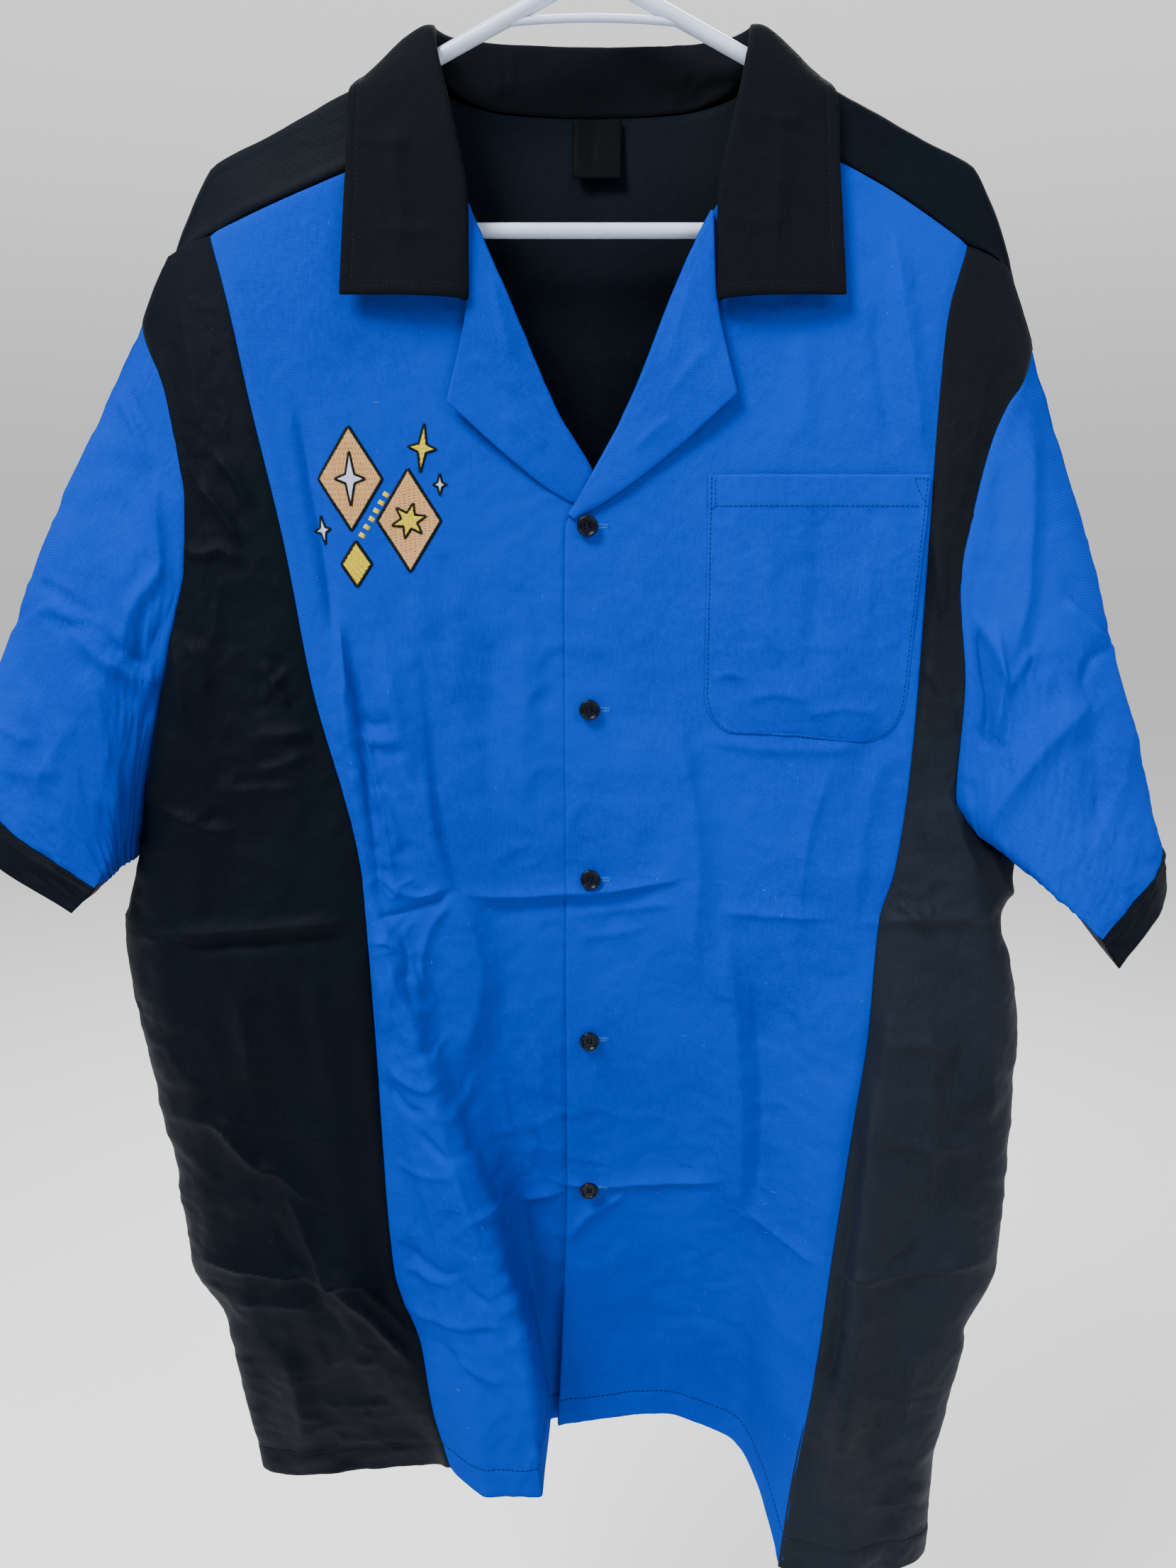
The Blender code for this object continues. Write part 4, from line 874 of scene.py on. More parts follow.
# ---- creases seen from the front -------------------------------------------------
# rows: height mm, width left (below), width right (above), sharpness, points
FRONT_CREASES = [
    # standing fold: soft at the top, a standing edge from the belly to the hem
    (2.9, 26, 32, 2, [(536, 880), (545, 940), (556, 1000), (573, 1086), (592, 1132), (608, 1172), (622, 1215), (637, 1258), (650, 1290)]),
    (-1.5, 15, 16, 0.6, [(486, 870), (498, 950), (511, 1024), (515, 1070), (523, 1142), (533, 1230), (540, 1285), (546, 1330)]),
    (0.9, 12, 12, 0.3, [(466, 880), (482, 950), (494, 1040), (504, 1130), (514, 1220)]),
    (2.2, 32, 24, 2, [(628, 1240), (646, 1272), (664, 1308), (676, 1355), (672, 1411), (655, 1470), (640, 1520)]),
    (-1.1, 22, 44, 0.1, [(596, 1370), (612, 1430), (631, 1492), (650, 1549), (664, 1600), (687, 1661), (709, 1722), (736, 1790), (756, 1850), (770, 1920)]),
    (3.8, 42, 26, 2, [(530, 1250), (538, 1310), (556, 1375), (576, 1430), (595, 1492), (614, 1549), (630, 1605), (651, 1661), (672, 1720), (690, 1766), (708, 1812)]),
    (2.2, 40, 24, 2, [(614, 1549), (651, 1661), (674, 1722), (704, 1797), (724, 1860), (741, 1929), (752, 1975), (766, 2090)]),
    (-1.9, 11, 15, 0.3, [(412, 540), (438, 690), (463, 830), (472, 930)]),
    (1.2, 10, 9, 0.6, [(600, 1062), (606, 1130), (618, 1180)]),
    (-1.5, 10, 16, 0.7, [(588, 870), (602, 960), (610, 1060), (620, 1150), (634, 1210), (660, 1274)]),
    (1.2, 8, 10, 0.9, [(500, 990), (520, 1060), (536, 1130), (548, 1200), (562, 1280)]),
    (1.0, 8, 9, 0.9, [(476, 860), (482, 930), (486, 1000), (496, 1070)]),
    # scalloped tuck and small kinks on its upper part
    (-1.1, 8, 8, 0.9, [(500, 1002), (514, 1018), (536, 1024), (560, 1010)]),
    (1.2, 8, 8, 0.9, [(496, 1032), (520, 1044), (548, 1046), (570, 1034)]),
    (-1.0, 8, 8, 0.9, [(520, 1052), (546, 1064), (576, 1056)]),
    (-1.0, 8, 8, 0.9, [(462, 1066), (486, 1084), (512, 1082)]),
    (1.1, 8, 9, 0.9, [(526, 1100), (552, 1150), (562, 1206)]),
    # creased star where the belly crease runs into it
    (-1.2, 9, 8, 0.9, [(520, 1298), (560, 1290), (600, 1276), (644, 1250)]),
    (1.4, 9, 9, 0.9, [(524, 1226), (556, 1254), (590, 1264), (634, 1248)]),
    (1.5, 8, 9, 0.9, [(508, 1334), (540, 1324), (566, 1338), (584, 1372), (594, 1414)]),
    (-1.4, 8, 8, 0.9, [(552, 1306), (574, 1340), (572, 1380), (586, 1428)]),
    (1.4, 8, 9, 0.9, [(644, 1256), (606, 1310), (594, 1360), (606, 1406)]),
    # facets that come in from the ridge on its lower part
    (-1.3, 8, 8, 0.9, [(526, 1516), (556, 1540), (582, 1564), (612, 1560)]),
    (1.3, 8, 9, 0.9, [(544, 1496), (576, 1524), (602, 1530), (624, 1516)]),
    (-1.2, 8, 8, 0.9, [(594, 1590), (622, 1616), (652, 1634)]),
    (1.2, 8, 9, 0.9, [(552, 1640), (590, 1652), (622, 1650), (652, 1638)]),
    (-1.3, 8, 9, 0.9, [(552, 1746), (590, 1778), (626, 1796), (668, 1790)]),
    (1.3, 9, 9, 0.9, [(566, 1784), (602, 1801), (644, 1812)]),
    (1.5, 8, 10, 0.9, [(544, 1822), (590, 1852), (640, 1868), (690, 1866), (726, 1862)]),
    (-1.2, 9, 9, 0.8, [(600, 1880), (640, 1920), (680, 1956), (710, 1994)]),
    (1.2, 9, 9, 0.8, [(636, 1916), (676, 1936), (716, 1950)]),
    (-1.1, 9, 10, 0.8, [(646, 1796), (668, 1824), (694, 1836)]),
    # soft lines on the lit side
    (0.9, 12, 10, 0.5, [(516, 1420), (526, 1540), (540, 1680), (560, 1790)]),
    (-0.9, 10, 10, 0.4, [(546, 1480), (558, 1590), (584, 1700), (606, 1790)]),
    (0.9, 10, 9, 0.5, [(590, 1640), (616, 1740), (650, 1850), (684, 1950)]),
    (-0.9, 9, 9, 0.4, [(560, 1730), (600, 1830), (640, 1930), (660, 2020)]),
    # across the belly, from the side seam to the placket
    (1.6, 9, 13, 0.75, [(182, 1323), (260, 1318), (345, 1312), (430, 1304), (515, 1297)]),
    (-1.0, 12, 10, 0.2, [(230, 1340), (340, 1332), (450, 1322), (530, 1312)]),
    (1.9, 6, 15, 0.85, [(630, 1250), (650, 1253), (672, 1261), (722, 1263), (796, 1258), (842, 1257), (884, 1250), (932, 1241), (984, 1229)]),
    (-0.9, 12, 7, 0.3, [(660, 1280), (720, 1282), (790, 1274), (860, 1276), (930, 1262)]),
    (0.9, 6, 9, 0.7, [(800, 1292), (850, 1284), (905, 1277), (965, 1268)]),
    (0.7, 6, 8, 0.6, [(806, 1322), (860, 1316), (920, 1304)]),
    (1.1, 9, 12, 0.6, [(1000, 1280), (1050, 1288), (1110, 1292), (1180, 1296)]),
    (1.5, 9, 12, 0.75, [(1200, 1300), (1240, 1302), (1290, 1298), (1350, 1296), (1404, 1292)]),
    (0.9, 6, 7, 0.8, [(1262, 1275), (1284, 1284), (1300, 1300)]),
    (0.8, 6, 7, 0.8, [(1320, 1278), (1300, 1290), (1284, 1304)]),
    # left front, upper: soft vertical folds
    (1.0, 18, 20, 0.2, [(586, 800), (596, 900), (606, 1000), (600, 1080)]),
    (0.8, 14, 18, 0.2, [(640, 820), (646, 910), (640, 1000)]),
    (0.9, 16, 22, 0.2, [(735, 860), (742, 960), (736, 1080), (744, 1180)]),
    (-0.8, 16, 18, 0.1, [(690, 840), (694, 950), (690, 1060), (694, 1180)]),
    # by the last button
    (1.6, 6, 12, 0.85, [(764, 1652), (800, 1664), (862, 1667), (945, 1663), (1036, 1661)]),
    (1.5, 7, 8, 0.75, [(892, 1674), (856, 1694), (826, 1712), (796, 1752)]),
    (1.5, 6, 11, 0.85, [(664, 1712), (700, 1698), (742, 1688), (800, 1674)]),
    (-1.0, 6, 6, 0.6, [(750, 1580), (758, 1620), (756, 1662)]),
    (1.3, 10, 10, 0.7, [(1050, 1700), (1070, 1716), (1100, 1742), (1160, 1790)]),
    (0.9, 14, 18, 0.3, [(760, 1460), (764, 1560), (770, 1650)]),
    (0.7, 12, 14, 0.3, [(700, 1500), (720, 1600), (748, 1680)]),
    # right front (viewer's right): soft vertical folds
    (2.6, 60, 24, 2, [(944, 960), (962, 1060), (978, 1150), (982, 1230), (976, 1320), (984, 1420)]),
    (2.2, 50, 22, 2, [(1016, 1270), (1034, 1400), (1042, 1520), (1044, 1660), (1050, 1780)]),
    (-1.3, 12, 16, 0.6, [(1060, 1380), (1072, 1500), (1072, 1620), (1062, 1720)]),
    (0.9, 18, 20, 0.2, [(890, 1000), (896, 1120), (900, 1230)]),
    (1.4, 12, 20, 0.5, [(1244, 290), (1260, 330), (1276, 450), (1290, 560), (1304, 670)]),
    (-1.1, 14, 12, 0.2, [(1232, 420), (1246, 540), (1262, 650)]),
    (0.9, 18, 18, 0.2, [(1130, 460), (1136, 540), (1130, 640)]),
    (1.5, 12, 14, 0.8, [(1180, 1060), (1150, 1140), (1130, 1240), (1128, 1330)]),
    (0.9, 14, 16, 0.3, [(1250, 1040), (1226, 1130), (1210, 1230), (1205, 1290)]),
    (1.0, 16, 16, 0.3, [(1110, 1330), (1130, 1420), (1140, 1520)]),
    # pocket: valley down its right half, wrinkles along its foot
    (-1.3, 18, 20, 0.15, [(1146, 700), (1156, 790), (1150, 880), (1140, 980)]),
    (0.8, 18, 18, 0.2, [(1080, 740), (1086, 830), (1078, 930)]),
    (0.7, 14, 14, 0.3, [(1216, 740), (1222, 840), (1214, 930)]),
    (0.8, 8, 10, 0.6, [(1040, 992), (1090, 978), (1150, 990)]),
    (0.8, 8, 9, 0.6, [(1130, 1012), (1180, 1000), (1240, 1004)]),
    (0.7, 8, 9, 0.6, [(1000, 960), (1030, 950), (1062, 960)]),
    (0.9, 9, 12, 0.5, [(985, 1040), (1060, 1054), (1150, 1058), (1240, 1050)]),
    # black flank, viewer's left: upper
    (1.3, 9, 13, 0.7, [(275, 681), (300, 706), (345, 769)]),
    (1.1, 7, 10, 0.8, [(256, 772), (284, 784), (312, 776), (345, 799)]),
    (0.9, 8, 10, 0.6, [(300, 640), (334, 676), (352, 720)]),
    (1.2, 7, 9, 0.85, [(367, 931), (388, 962), (411, 1004)]),
    (1.0, 7, 9, 0.85, [(411, 940), (388, 964), (366, 996)]),
    (1.2, 8, 11, 0.7, [(352, 1042), (400, 1036), (455, 1033)]),
    (1.0, 8, 10, 0.7, [(352, 1092), (396, 1080), (440, 1062)]),
    (0.8, 8, 10, 0.5, [(300, 1118), (360, 1114), (430, 1112)]),
    (0.9, 9, 11, 0.6, [(262, 900), (284, 940), (292, 990)]),
    (1.1, 10, 13, 0.6, [(236, 870), (256, 960), (262, 1050)]),
    (0.9, 9, 12, 0.6, [(228, 1140), (280, 1166), (340, 1178)]),
    # black flank, viewer's left: lower
    (0.9, 10, 14, 0.5, [(234, 1570), (320, 1584), (430, 1600), (535, 1615)]),
    (1.8, 12, 18, 0.75, [(290, 1556), (325, 1598), (367, 1640), (395, 1647), (430, 1682), (470, 1716)]),
    (1.7, 11, 16, 0.75, [(395, 1650), (424, 1716), (458, 1794), (514, 1850), (560, 1900), (598, 1941)]),
    (-1.2, 14, 12, 0.2, [(375, 1690), (410, 1770), (450, 1840), (510, 1900)]),
    (1.2, 9, 12, 0.75, [(440, 1776), (490, 1800), (540, 1842), (591, 1892)]),
    (1.4, 9, 12, 0.75, [(270, 1766), (330, 1782), (390, 1794), (451, 1804), (500, 1804), (560, 1798)]),
    (0.8, 9, 11, 0.6, [(325, 1836), (390, 1838), (465, 1840)]),
    (1.0, 16, 20, 0.3, [(330, 1380), (350, 1460), (360, 1540)]),
    (0.8, 14, 18, 0.3, [(440, 1360), (452, 1460), (470, 1560)]),
    (1.0, 14, 18, 0.4, [(300, 1880), (330, 1950), (350, 2040)]),
    (0.9, 12, 16, 0.4, [(400, 1900), (420, 1960), (430, 2040)]),
    # black flank, viewer's right
    (2.0, 14, 26, 0.6, [(1234, 1500), (1234, 1560), (1227, 1646), (1220, 1730), (1212, 1808), (1205, 1893), (1190, 1990), (1174, 2080), (1163, 2141)]),
    (-1.6, 14, 12, 0.3, [(1206, 1560), (1200, 1680), (1188, 1800), (1176, 1900), (1150, 2020)]),
    (1.3, 9, 13, 0.75, [(1160, 1792), (1190, 1794), (1220, 1796), (1290, 1790), (1350, 1784), (1403, 1776)]),
    (1.1, 14, 20, 0.4, [(1300, 1400), (1310, 1500), (1306, 1600), (1312, 1700)]),
    (0.9, 12, 18, 0.4, [(1380, 1400), (1392, 1500), (1396, 1600)]),
    (0.9, 10, 14, 0.6, [(1250, 1600), (1310, 1618), (1390, 1612)]),
    (0.9, 9, 12, 0.6, [(1240, 1480), (1300, 1470), (1360, 1484)]),
    (1.0, 12, 18, 0.4, [(1290, 1860), (1280, 1960), (1262, 2060)]),
    (0.9, 12, 16, 0.4, [(1350, 1850), (1348, 1950), (1340, 2040)]),
    (1.2, 10, 16, 0.6, [(1330, 1100), (1350, 1180), (1380, 1250)]),
    (1.1, 10, 14, 0.6, [(1392, 1180), (1410, 1240), (1440, 1290)]),
    (0.9, 9, 12, 0.5, [(1300, 700), (1320, 790), (1326, 880)]),
    (0.9, 9, 12, 0.5, [(1290, 930), (1330, 980), (1352, 1040)]),
]


def front_field(p):
    """Creases and unevenness of everything that hangs in front."""
    u, v = seen(p)
    x, z = p[..., 0], p[..., 2]
    h = 2.15 * creases(u, v, FRONT_CREASES)
    low = smooth((-z - 330) / 300)
    h += 1.5 * layered(x / 44, z / 210, 21, 2) * (0.35 + 0.65 * low)
    h += 0.8 * layered(x / 24, z / 64, 31, 2) * (0.5 + 0.5 * low)
    h += 1.1 * rumple(x / 34, z / 27, 41) * smooth((-z - 250) / 200)
    h += 0.50 * rumple(x / 14, z / 13, 51)
    # more crumpled along the standing fold
    near = np.exp(-((u - np.interp(v, [640, 1000, 1426, 1665, 2007], [475, 500, 572, 662, 759])) / 60.0) ** 2)
    h += 2.1 * near * rumple(x / 15, z / 19, 61) * smooth((v - 820) / 160)
    return h


def seam_dip(p, line, reach=3.2, depth=0.9):
    """A seam pulls the cloth in along a line (points down a column of the grid)."""
    d = np.linalg.norm(p - line[:, None], axis=-1)
    return -depth * np.exp(-(d / reach) ** 2)


def seam_lip(p, line, at=2.2, width=1.6, height=0.35):
    d = np.linalg.norm(p - line[:, None], axis=-1)
    return height * np.exp(-((d - at) / width) ** 2)


skins = {}
made = {}


def gathered(side, count, levels, reach=0.011, gain=1.6):
    """Shares of the length, closer together where creases cross the panel."""
    t = np.linspace(0, 1, 2001)
    v = seen(front(side, [0.5], t))[1][:, 0]
    d = np.ones_like(t)
    for level in levels:
        d += gain * np.exp(-((t - np.interp(level, v, t)) / reach) ** 2)
    k = np.concatenate(([0], np.cumsum((d[1:] + d[:-1]) / 2)))
    return np.interp(np.linspace(0, k[-1], odd(count)), k, t)


def build_front(side, tag):
    ss = np.linspace(0, 1, odd(130))
    ts = gathered(side, 430, (1252, 1300, 1672, 1710) if side < 0 else (1244, 1262, 1664, 1700))
    length = 800.0
    ss = 0.0016 + (1 - 0.0032) * ss
    base = front(side, ss, ts)
    n = normals(base)
    if n[..., 1].mean() > 0:
        n = -n
    h = front_field(base)
    # the top runs smoothly under the collar and lapels
    h *= smooth((ts - 0.005) / 0.05)[:, None]
    seam_d = np.linalg.norm(base - base[:, -1:], axis=-1)
    h *= 0.30 + 0.70 * smooth(seam_d / 13.0)
    h += seam_dip(base, base[:, -1])
    # forward shoulder seam
    h += -0.8 * np.exp(-(np.linalg.norm(base - base[0][None], axis=-1) / 3.0) ** 2)
    # buttoned edge: three layers, a little raised, from the break of the lapel down
    edge = np.linalg.norm(base - base[:, :1], axis=-1)
    placket = smooth((-base[..., 2] - 350) / 20)
    thick = 0.75 * smooth((34 - edge) / 3.0) * placket
    h += 0.12 * smooth((40 - edge) / 14.0) * placket * (side > 0)
    # hem, turned up inside: thicker, with a groove at the stitching
    up = np.linalg.norm(base - base[-1][None], axis=-1)
    hem = smooth((21 - up) / 2.0)
    h += -0.45 * np.exp(-((up - 20) / 1.4) ** 2) + 0.25 * hem
    ob, skin = sewn("front_" + tag + "_cloth", base, n, h, BLUE, PLY, thick * 0.9 + hem * 0.8)
    skins["front_" + tag] = skin
    skin.base = base
    made["front_" + tag] = ob
    return ob


def build_flank(side, tag):
    ss = np.linspace(0.002, 0.998, odd(76))
    ts = np.linspace(0, 1, odd(360))
    base = flank(side, ss, ts)
    n = normals(base)
    if np.sum(n * (base - np.array((0, 400, -600)))) < 0:
        n = -n
    # its seam allowance reaches a little way under the centre front
    out = base[:, 0] - base[:, 2]
    base[:, 0] += 1.3 * out / np.linalg.norm(out, axis=-1)[:, None] - 0.35 * n[:, 0]
    h = 1.5 * front_field(base)
    h *= smooth((ts - 0.005) / 0.05)[:, None]
    seam_d = np.minimum(np.linalg.norm(base - base[:, -1:], axis=-1), np.linalg.norm(base - base[:, :1], axis=-1))
    h *= 0.22 + 0.78 * smooth(seam_d / 13.0)
    h += seam_dip(base, base[:, 0]) + seam_dip(base, base[:, -1])
    h += -0.8 * np.exp(-(np.linalg.norm(base - base[0][None], axis=-1) / 3.0) ** 2)
    up = np.linalg.norm(base - base[-1][None], axis=-1)
    hem = smooth((21 - up) / 2.0)
    h += -0.45 * np.exp(-((up - 20) / 1.4) ** 2) + 0.25 * hem
    # calmer where the sleeve's armhole seam holds it
    # the viewer's right flank takes the black twill with painted sheen
    ob, skin = sewn("side_panel_" + tag + "_cloth", base, n, h, BLACK_PAINTED_SHEEN if side > 0 else BLACK, PLY, hem * 0.8)
    skins["side_panel_" + tag] = skin
    made["side_panel_" + tag] = ob
    return ob


for side, tag in ((-1, "right"), (1, "left")):
    build_front(side, tag)
    build_flank(side, tag)


# ---- back, cut in one with the forward shoulders ---------------------------------
# as seen in x and depth below the hook's top, in mm
BACK_CREASES = [
    (2.2, 10, 16, 0.5, [(-150, 250), (-140, 380), (-128, 520), (-120, 700), (-112, 900)]),
    (2.4, 11, 14, 0.5, [(138, 240), (132, 360), (120, 520), (116, 700), (120, 920)]),
    (1.6, 12, 15, 0.4, [(-60, 190), (-52, 330), (-56, 520), (-44, 760), (-40, 980)]),
    (1.7, 12, 15, 0.4, [(50, 200), (58, 360), (50, 560), (58, 800), (54, 980)]),
    (-1.6, 16, 16, 0.1, [(0, 200), (4, 420), (-4, 700), (2, 980)]),
    (1.5, 6, 8, 0.75, [(-232, 520), (-190, 548), (-140, 560), (-90, 556)]),
    (1.5, 6, 8, 0.75, [(228, 540), (180, 566), (120, 574), (70, 562)]),
    (1.3, 6, 8, 0.75, [(-236, 640), (-180, 672), (-120, 690)]),
    (1.4, 6, 8, 0.75, [(236, 660), (186, 700), (130, 724)]),
    (1.2, 6, 8, 0.7, [(-225, 800), (-160, 790), (-90, 806)]),
    (1.2, 6, 8, 0.7, [(222, 820), (160, 806), (92, 816)]),
    (1.3, 6, 9, 0.7, [(-205, 300), (-180, 340), (-170, 400)]),
    (1.3, 6, 9, 0.7, [(200, 300), (176, 336), (166, 390)]),
]


def back_field(p):
    x, z = p[..., 0], p[..., 2]
    low = smooth((-z - 220) / 260)
    h = 1.9 * creases(x, -z, BACK_CREASES)
    h += 1.5 * layered(x / 48, z / 200, 121, 2) * (0.3 + 0.7 * low)
    h += 0.9 * layered(x / 24, z / 60, 131, 2) * (0.3 + 0.7 * low)
    h += 1.0 * rumple(x / 30, z / 28, 141) * (0.35 + 0.65 * low)
    h += 0.40 * rumple(x / 13, z / 14, 151)
    return h


def thickened(ob, thick):
    mod = ob.modifiers.new("Ply", "SOLIDIFY")
    mod.thickness = thick * MM
    mod.offset = -1.0
    mod.use_even_offset = False
    dg = bpy.context.evaluated_depsgraph_get()
    me = bpy.data.meshes.new_from_object(ob.evaluated_get(dg))
    ob.modifiers.clear()
    old = ob.data
    ob.data = me
    bpy.data.meshes.remove(old)
    return ob


def grid_faces(rows, cols, start=0):
    ids = start + np.arange(rows * cols).reshape(rows, cols)
    return np.stack((ids[:-1, :-1], ids[:-1, 1:], ids[1:, 1:], ids[1:, :-1]), -1).reshape(-1, 4)


def build_back():
    share = np.linspace(0, 1, 47)
    arm = 0.5 - NECK_HALF
    left = arm * (1 - share[::-1])
    neck = np.linspace(left[-1], 1 - left[-1], 33)
    us = np.concatenate((left, neck[1:-1], 1 - left[::-1]))
    ts = np.concatenate((np.linspace(0, 0.06, 12)[:-1], np.linspace(0.06, 1, 175)))
    base = back(us, ts)
    n = normals(base)
    if np.sum(n * (base - np.array((0, -400, -600)))) < 0:
        n = -n
    h = back_field(base) * smooth((ts - 0.01) / 0.10)[:, None]
    up = np.linalg.norm(base - base[-1][None], axis=-1)
    h += -0.45 * np.exp(-((up - 20) / 1.6) ** 2) + 0.25 * smooth((21 - up) / 2.0)
    h += seam_dip(base, base[:, 0]) + seam_dip(base, base[:, -1])
    outer = base + n * (FACE + h)[..., None]
    verts, faces, uvs = [outer.reshape(-1, 3)], [grid_faces(*outer.shape[:2])], [lengths(base).reshape(-1, 2)]
    rest = outer.shape[0] * outer.shape[1]
    n_share = len(share)
    for side in (-1, 1):
        tt = np.concatenate((np.linspace(-1, 0.35, 23)[:-1], np.linspace(0.35, 1 - 0.012, 23)))
        y0 = yoke(side, share, tt)
        ny = normals(y0)
        if np.sum(ny * (y0 - np.array((side * 120, 60, -260)))) < 0:
            ny = -ny
        x, z, yy = y0[..., 0], y0[..., 2], y0[..., 1]
        hy = 0.35 * layered(x / 22, (z - 2 * yy) / 30, 171, 2) + 0.25 * rumple(x / 14, (z - yy) / 14, 175)
        d = np.linalg.norm(y0 - y0[-1][None], axis=-1)
        hy = hy * smooth((tt + 1) / 0.4)[:, None] + 0.45 * smooth((7.5 - d) / 2.5) - 0.9 * np.exp(-(d / 1.6) ** 2)
        oy = y0 + ny * (FACE + hy)[..., None]
        cols = np.arange(n_share)[::-1] if side < 0 else np.arange(len(us) - n_share, len(us))
        if side < 0:
            oy = oy[:, ::-1]
            cols = cols[::-1]
        top = outer[0, cols]
        blend = smooth((tt + 1) / 0.5)[:, None, None]
        oy = oy + (top - oy[0])[None] * (1 - blend)
        verts.append(oy.reshape(-1, 3))
        faces.append(grid_faces(*oy.shape[:2], start=rest))
        uvs.append(lengths(oy).reshape(-1, 2))
        rest += oy.shape[0] * oy.shape[1]
        skins["yoke_" + ("right" if side < 0 else "left")] = Skin(oy, ny[:, ::-1] if side < 0 else ny)
    ob = mesh_object("back_cloth", np.concatenate(verts), faces, np.concatenate(uvs), [BLACK])
    bm = bmesh.new()
    bm.from_mesh(ob.data)
    bmesh.ops.remove_doubles(bm, verts=bm.verts, dist=0.00002)
    bm.to_mesh(ob.data)
    bm.free()
    turned_out(ob, 100 * (len(us) - 1) + len(us) // 2, (0, 1, 0))
    made["back"] = thickened(ob, PLY)
    skins["back"] = Skin(outer, n)


build_back()

# ---- sleeves and their bands --------------------------------------------------------
SLEEVE_CREASES = {-1: [
    # by the armhole
    (1.5, 9, 12, 0.8, [(164, 545), (180, 580), (196, 615), (214, 668)]),
    (-1.2, 8, 10, 0.5, [(176, 545), (196, 590), (212, 640)]),
    (1.4, 12, 8, 0.8, [(222, 660), (224, 750), (228, 806), (214, 832)]),
    (1.7, 14, 10, 2, [(240, 790), (212, 828), (192, 852), (181, 886), (176, 930)]),
    # the long diagonal and the tucks above it
    (-1.3, 7, 8, 0.8, [(38, 816), (84, 837), (116, 860), (161, 873)]),
    (1.4, 8, 9, 0.9, [(30, 884), (71, 858), (110, 872), (142, 874), (170, 918)]),
    (-1.2, 6, 7, 0.8, [(60, 868), (96, 884), (140, 884)]),
    (2.3, 16, 20, 2, [(96, 880), (142, 925), (174, 947), (206, 970), (244, 992)]),
    (1.5, 7, 9, 0.9, [(150, 926), (194, 954), (238, 966)]),
    (-1.3, 7, 8, 0.7, [(150, 905), (180, 925), (214, 940)]),
    # where the sleeve turns under, and its lit side
    (1.7, 30, 28, 2, [(132, 930), (145, 1008), (155, 1079), (161, 1137), (160, 1190)]),
    (0.9, 10, 12, 0.6, [(-10, 1076), (39, 1092), (97, 1089)]),
    (0.9, 10, 12, 0.6, [(-10, 1020), (30, 1040), (60, 1046)]),
    (1.0, 12, 14, 0.5, [(110, 1010), (70, 1080), (50, 1130)]),
    (1.0, 16, 20, 0.4, [(124, 600), (84, 700), (40, 800), (-10, 900)]),
], 1: [
    # standing crease beside the armhole
    (2.0, 26, 16, 2, [(1447, 556), (1449, 672), (1446, 791), (1442, 844), (1430, 910), (1424, 975)]),
    (1.6, 8, 10, 0.9, [(1372, 862), (1396, 910), (1411, 947), (1430, 985)]),
    (1.9, 9, 12, 2, [(1402, 872), (1406, 915), (1413, 960), (1410, 1000), (1398, 1056)]),
    (-1.4, 9, 10, 0.6, [(1384, 866), (1383, 910), (1390, 966), (1394, 1010), (1386, 1060)]),
    # the ridge that runs down to the band, and the hollow below it
    (2.4, 30, 20, 2, [(1556, 960), (1535, 991), (1486, 1041), (1442, 1091), (1411, 1135), (1366, 1208)]),
    (-1.7, 26, 26, 2, [(1530, 924), (1538, 997), (1550, 1070), (1556, 1140), (1556, 1200)]),
    # creases that come in from the upper edge
    (-1.5, 8, 8, 0.8, [(1600, 884), (1555, 916), (1536, 935), (1528, 976)]),
    (-1.4, 8, 8, 0.8, [(1492, 820), (1536, 866), (1555, 885), (1594, 904)]),
    (1.2, 9, 10, 0.7, [(1500, 846), (1534, 888), (1560, 902)]),
    (1.1, 7, 7, 0.8, [(1464, 914), (1440, 938), (1422, 978)]),
    (-1.0, 6, 7, 0.7, [(1354, 1018), (1386, 1042), (1430, 1056)]),
    # tucks under the armhole
    (1.2, 5, 6, 0.8, [(1342, 1096), (1352, 1112), (1370, 1124)]),
    (1.2, 5, 6, 0.8, [(1346, 1072), (1360, 1092), (1382, 1100)]),
    (1.0, 5, 6, 0.8, [(1344, 1116), (1360, 1134), (1380, 1142)]),
    (0.8, 13, 17, 0.5, [(1500, 560), (1524, 660), (1548, 780), (1580, 880)]),
    (0.8, 12, 18, 0.5, [(1560, 640), (1588, 760), (1612, 880), (1622, 990)]),
    (0.7, 10, 14, 0.6, [(1596, 1000), (1590, 1070), (1570, 1140), (1540, 1210)]),
]}


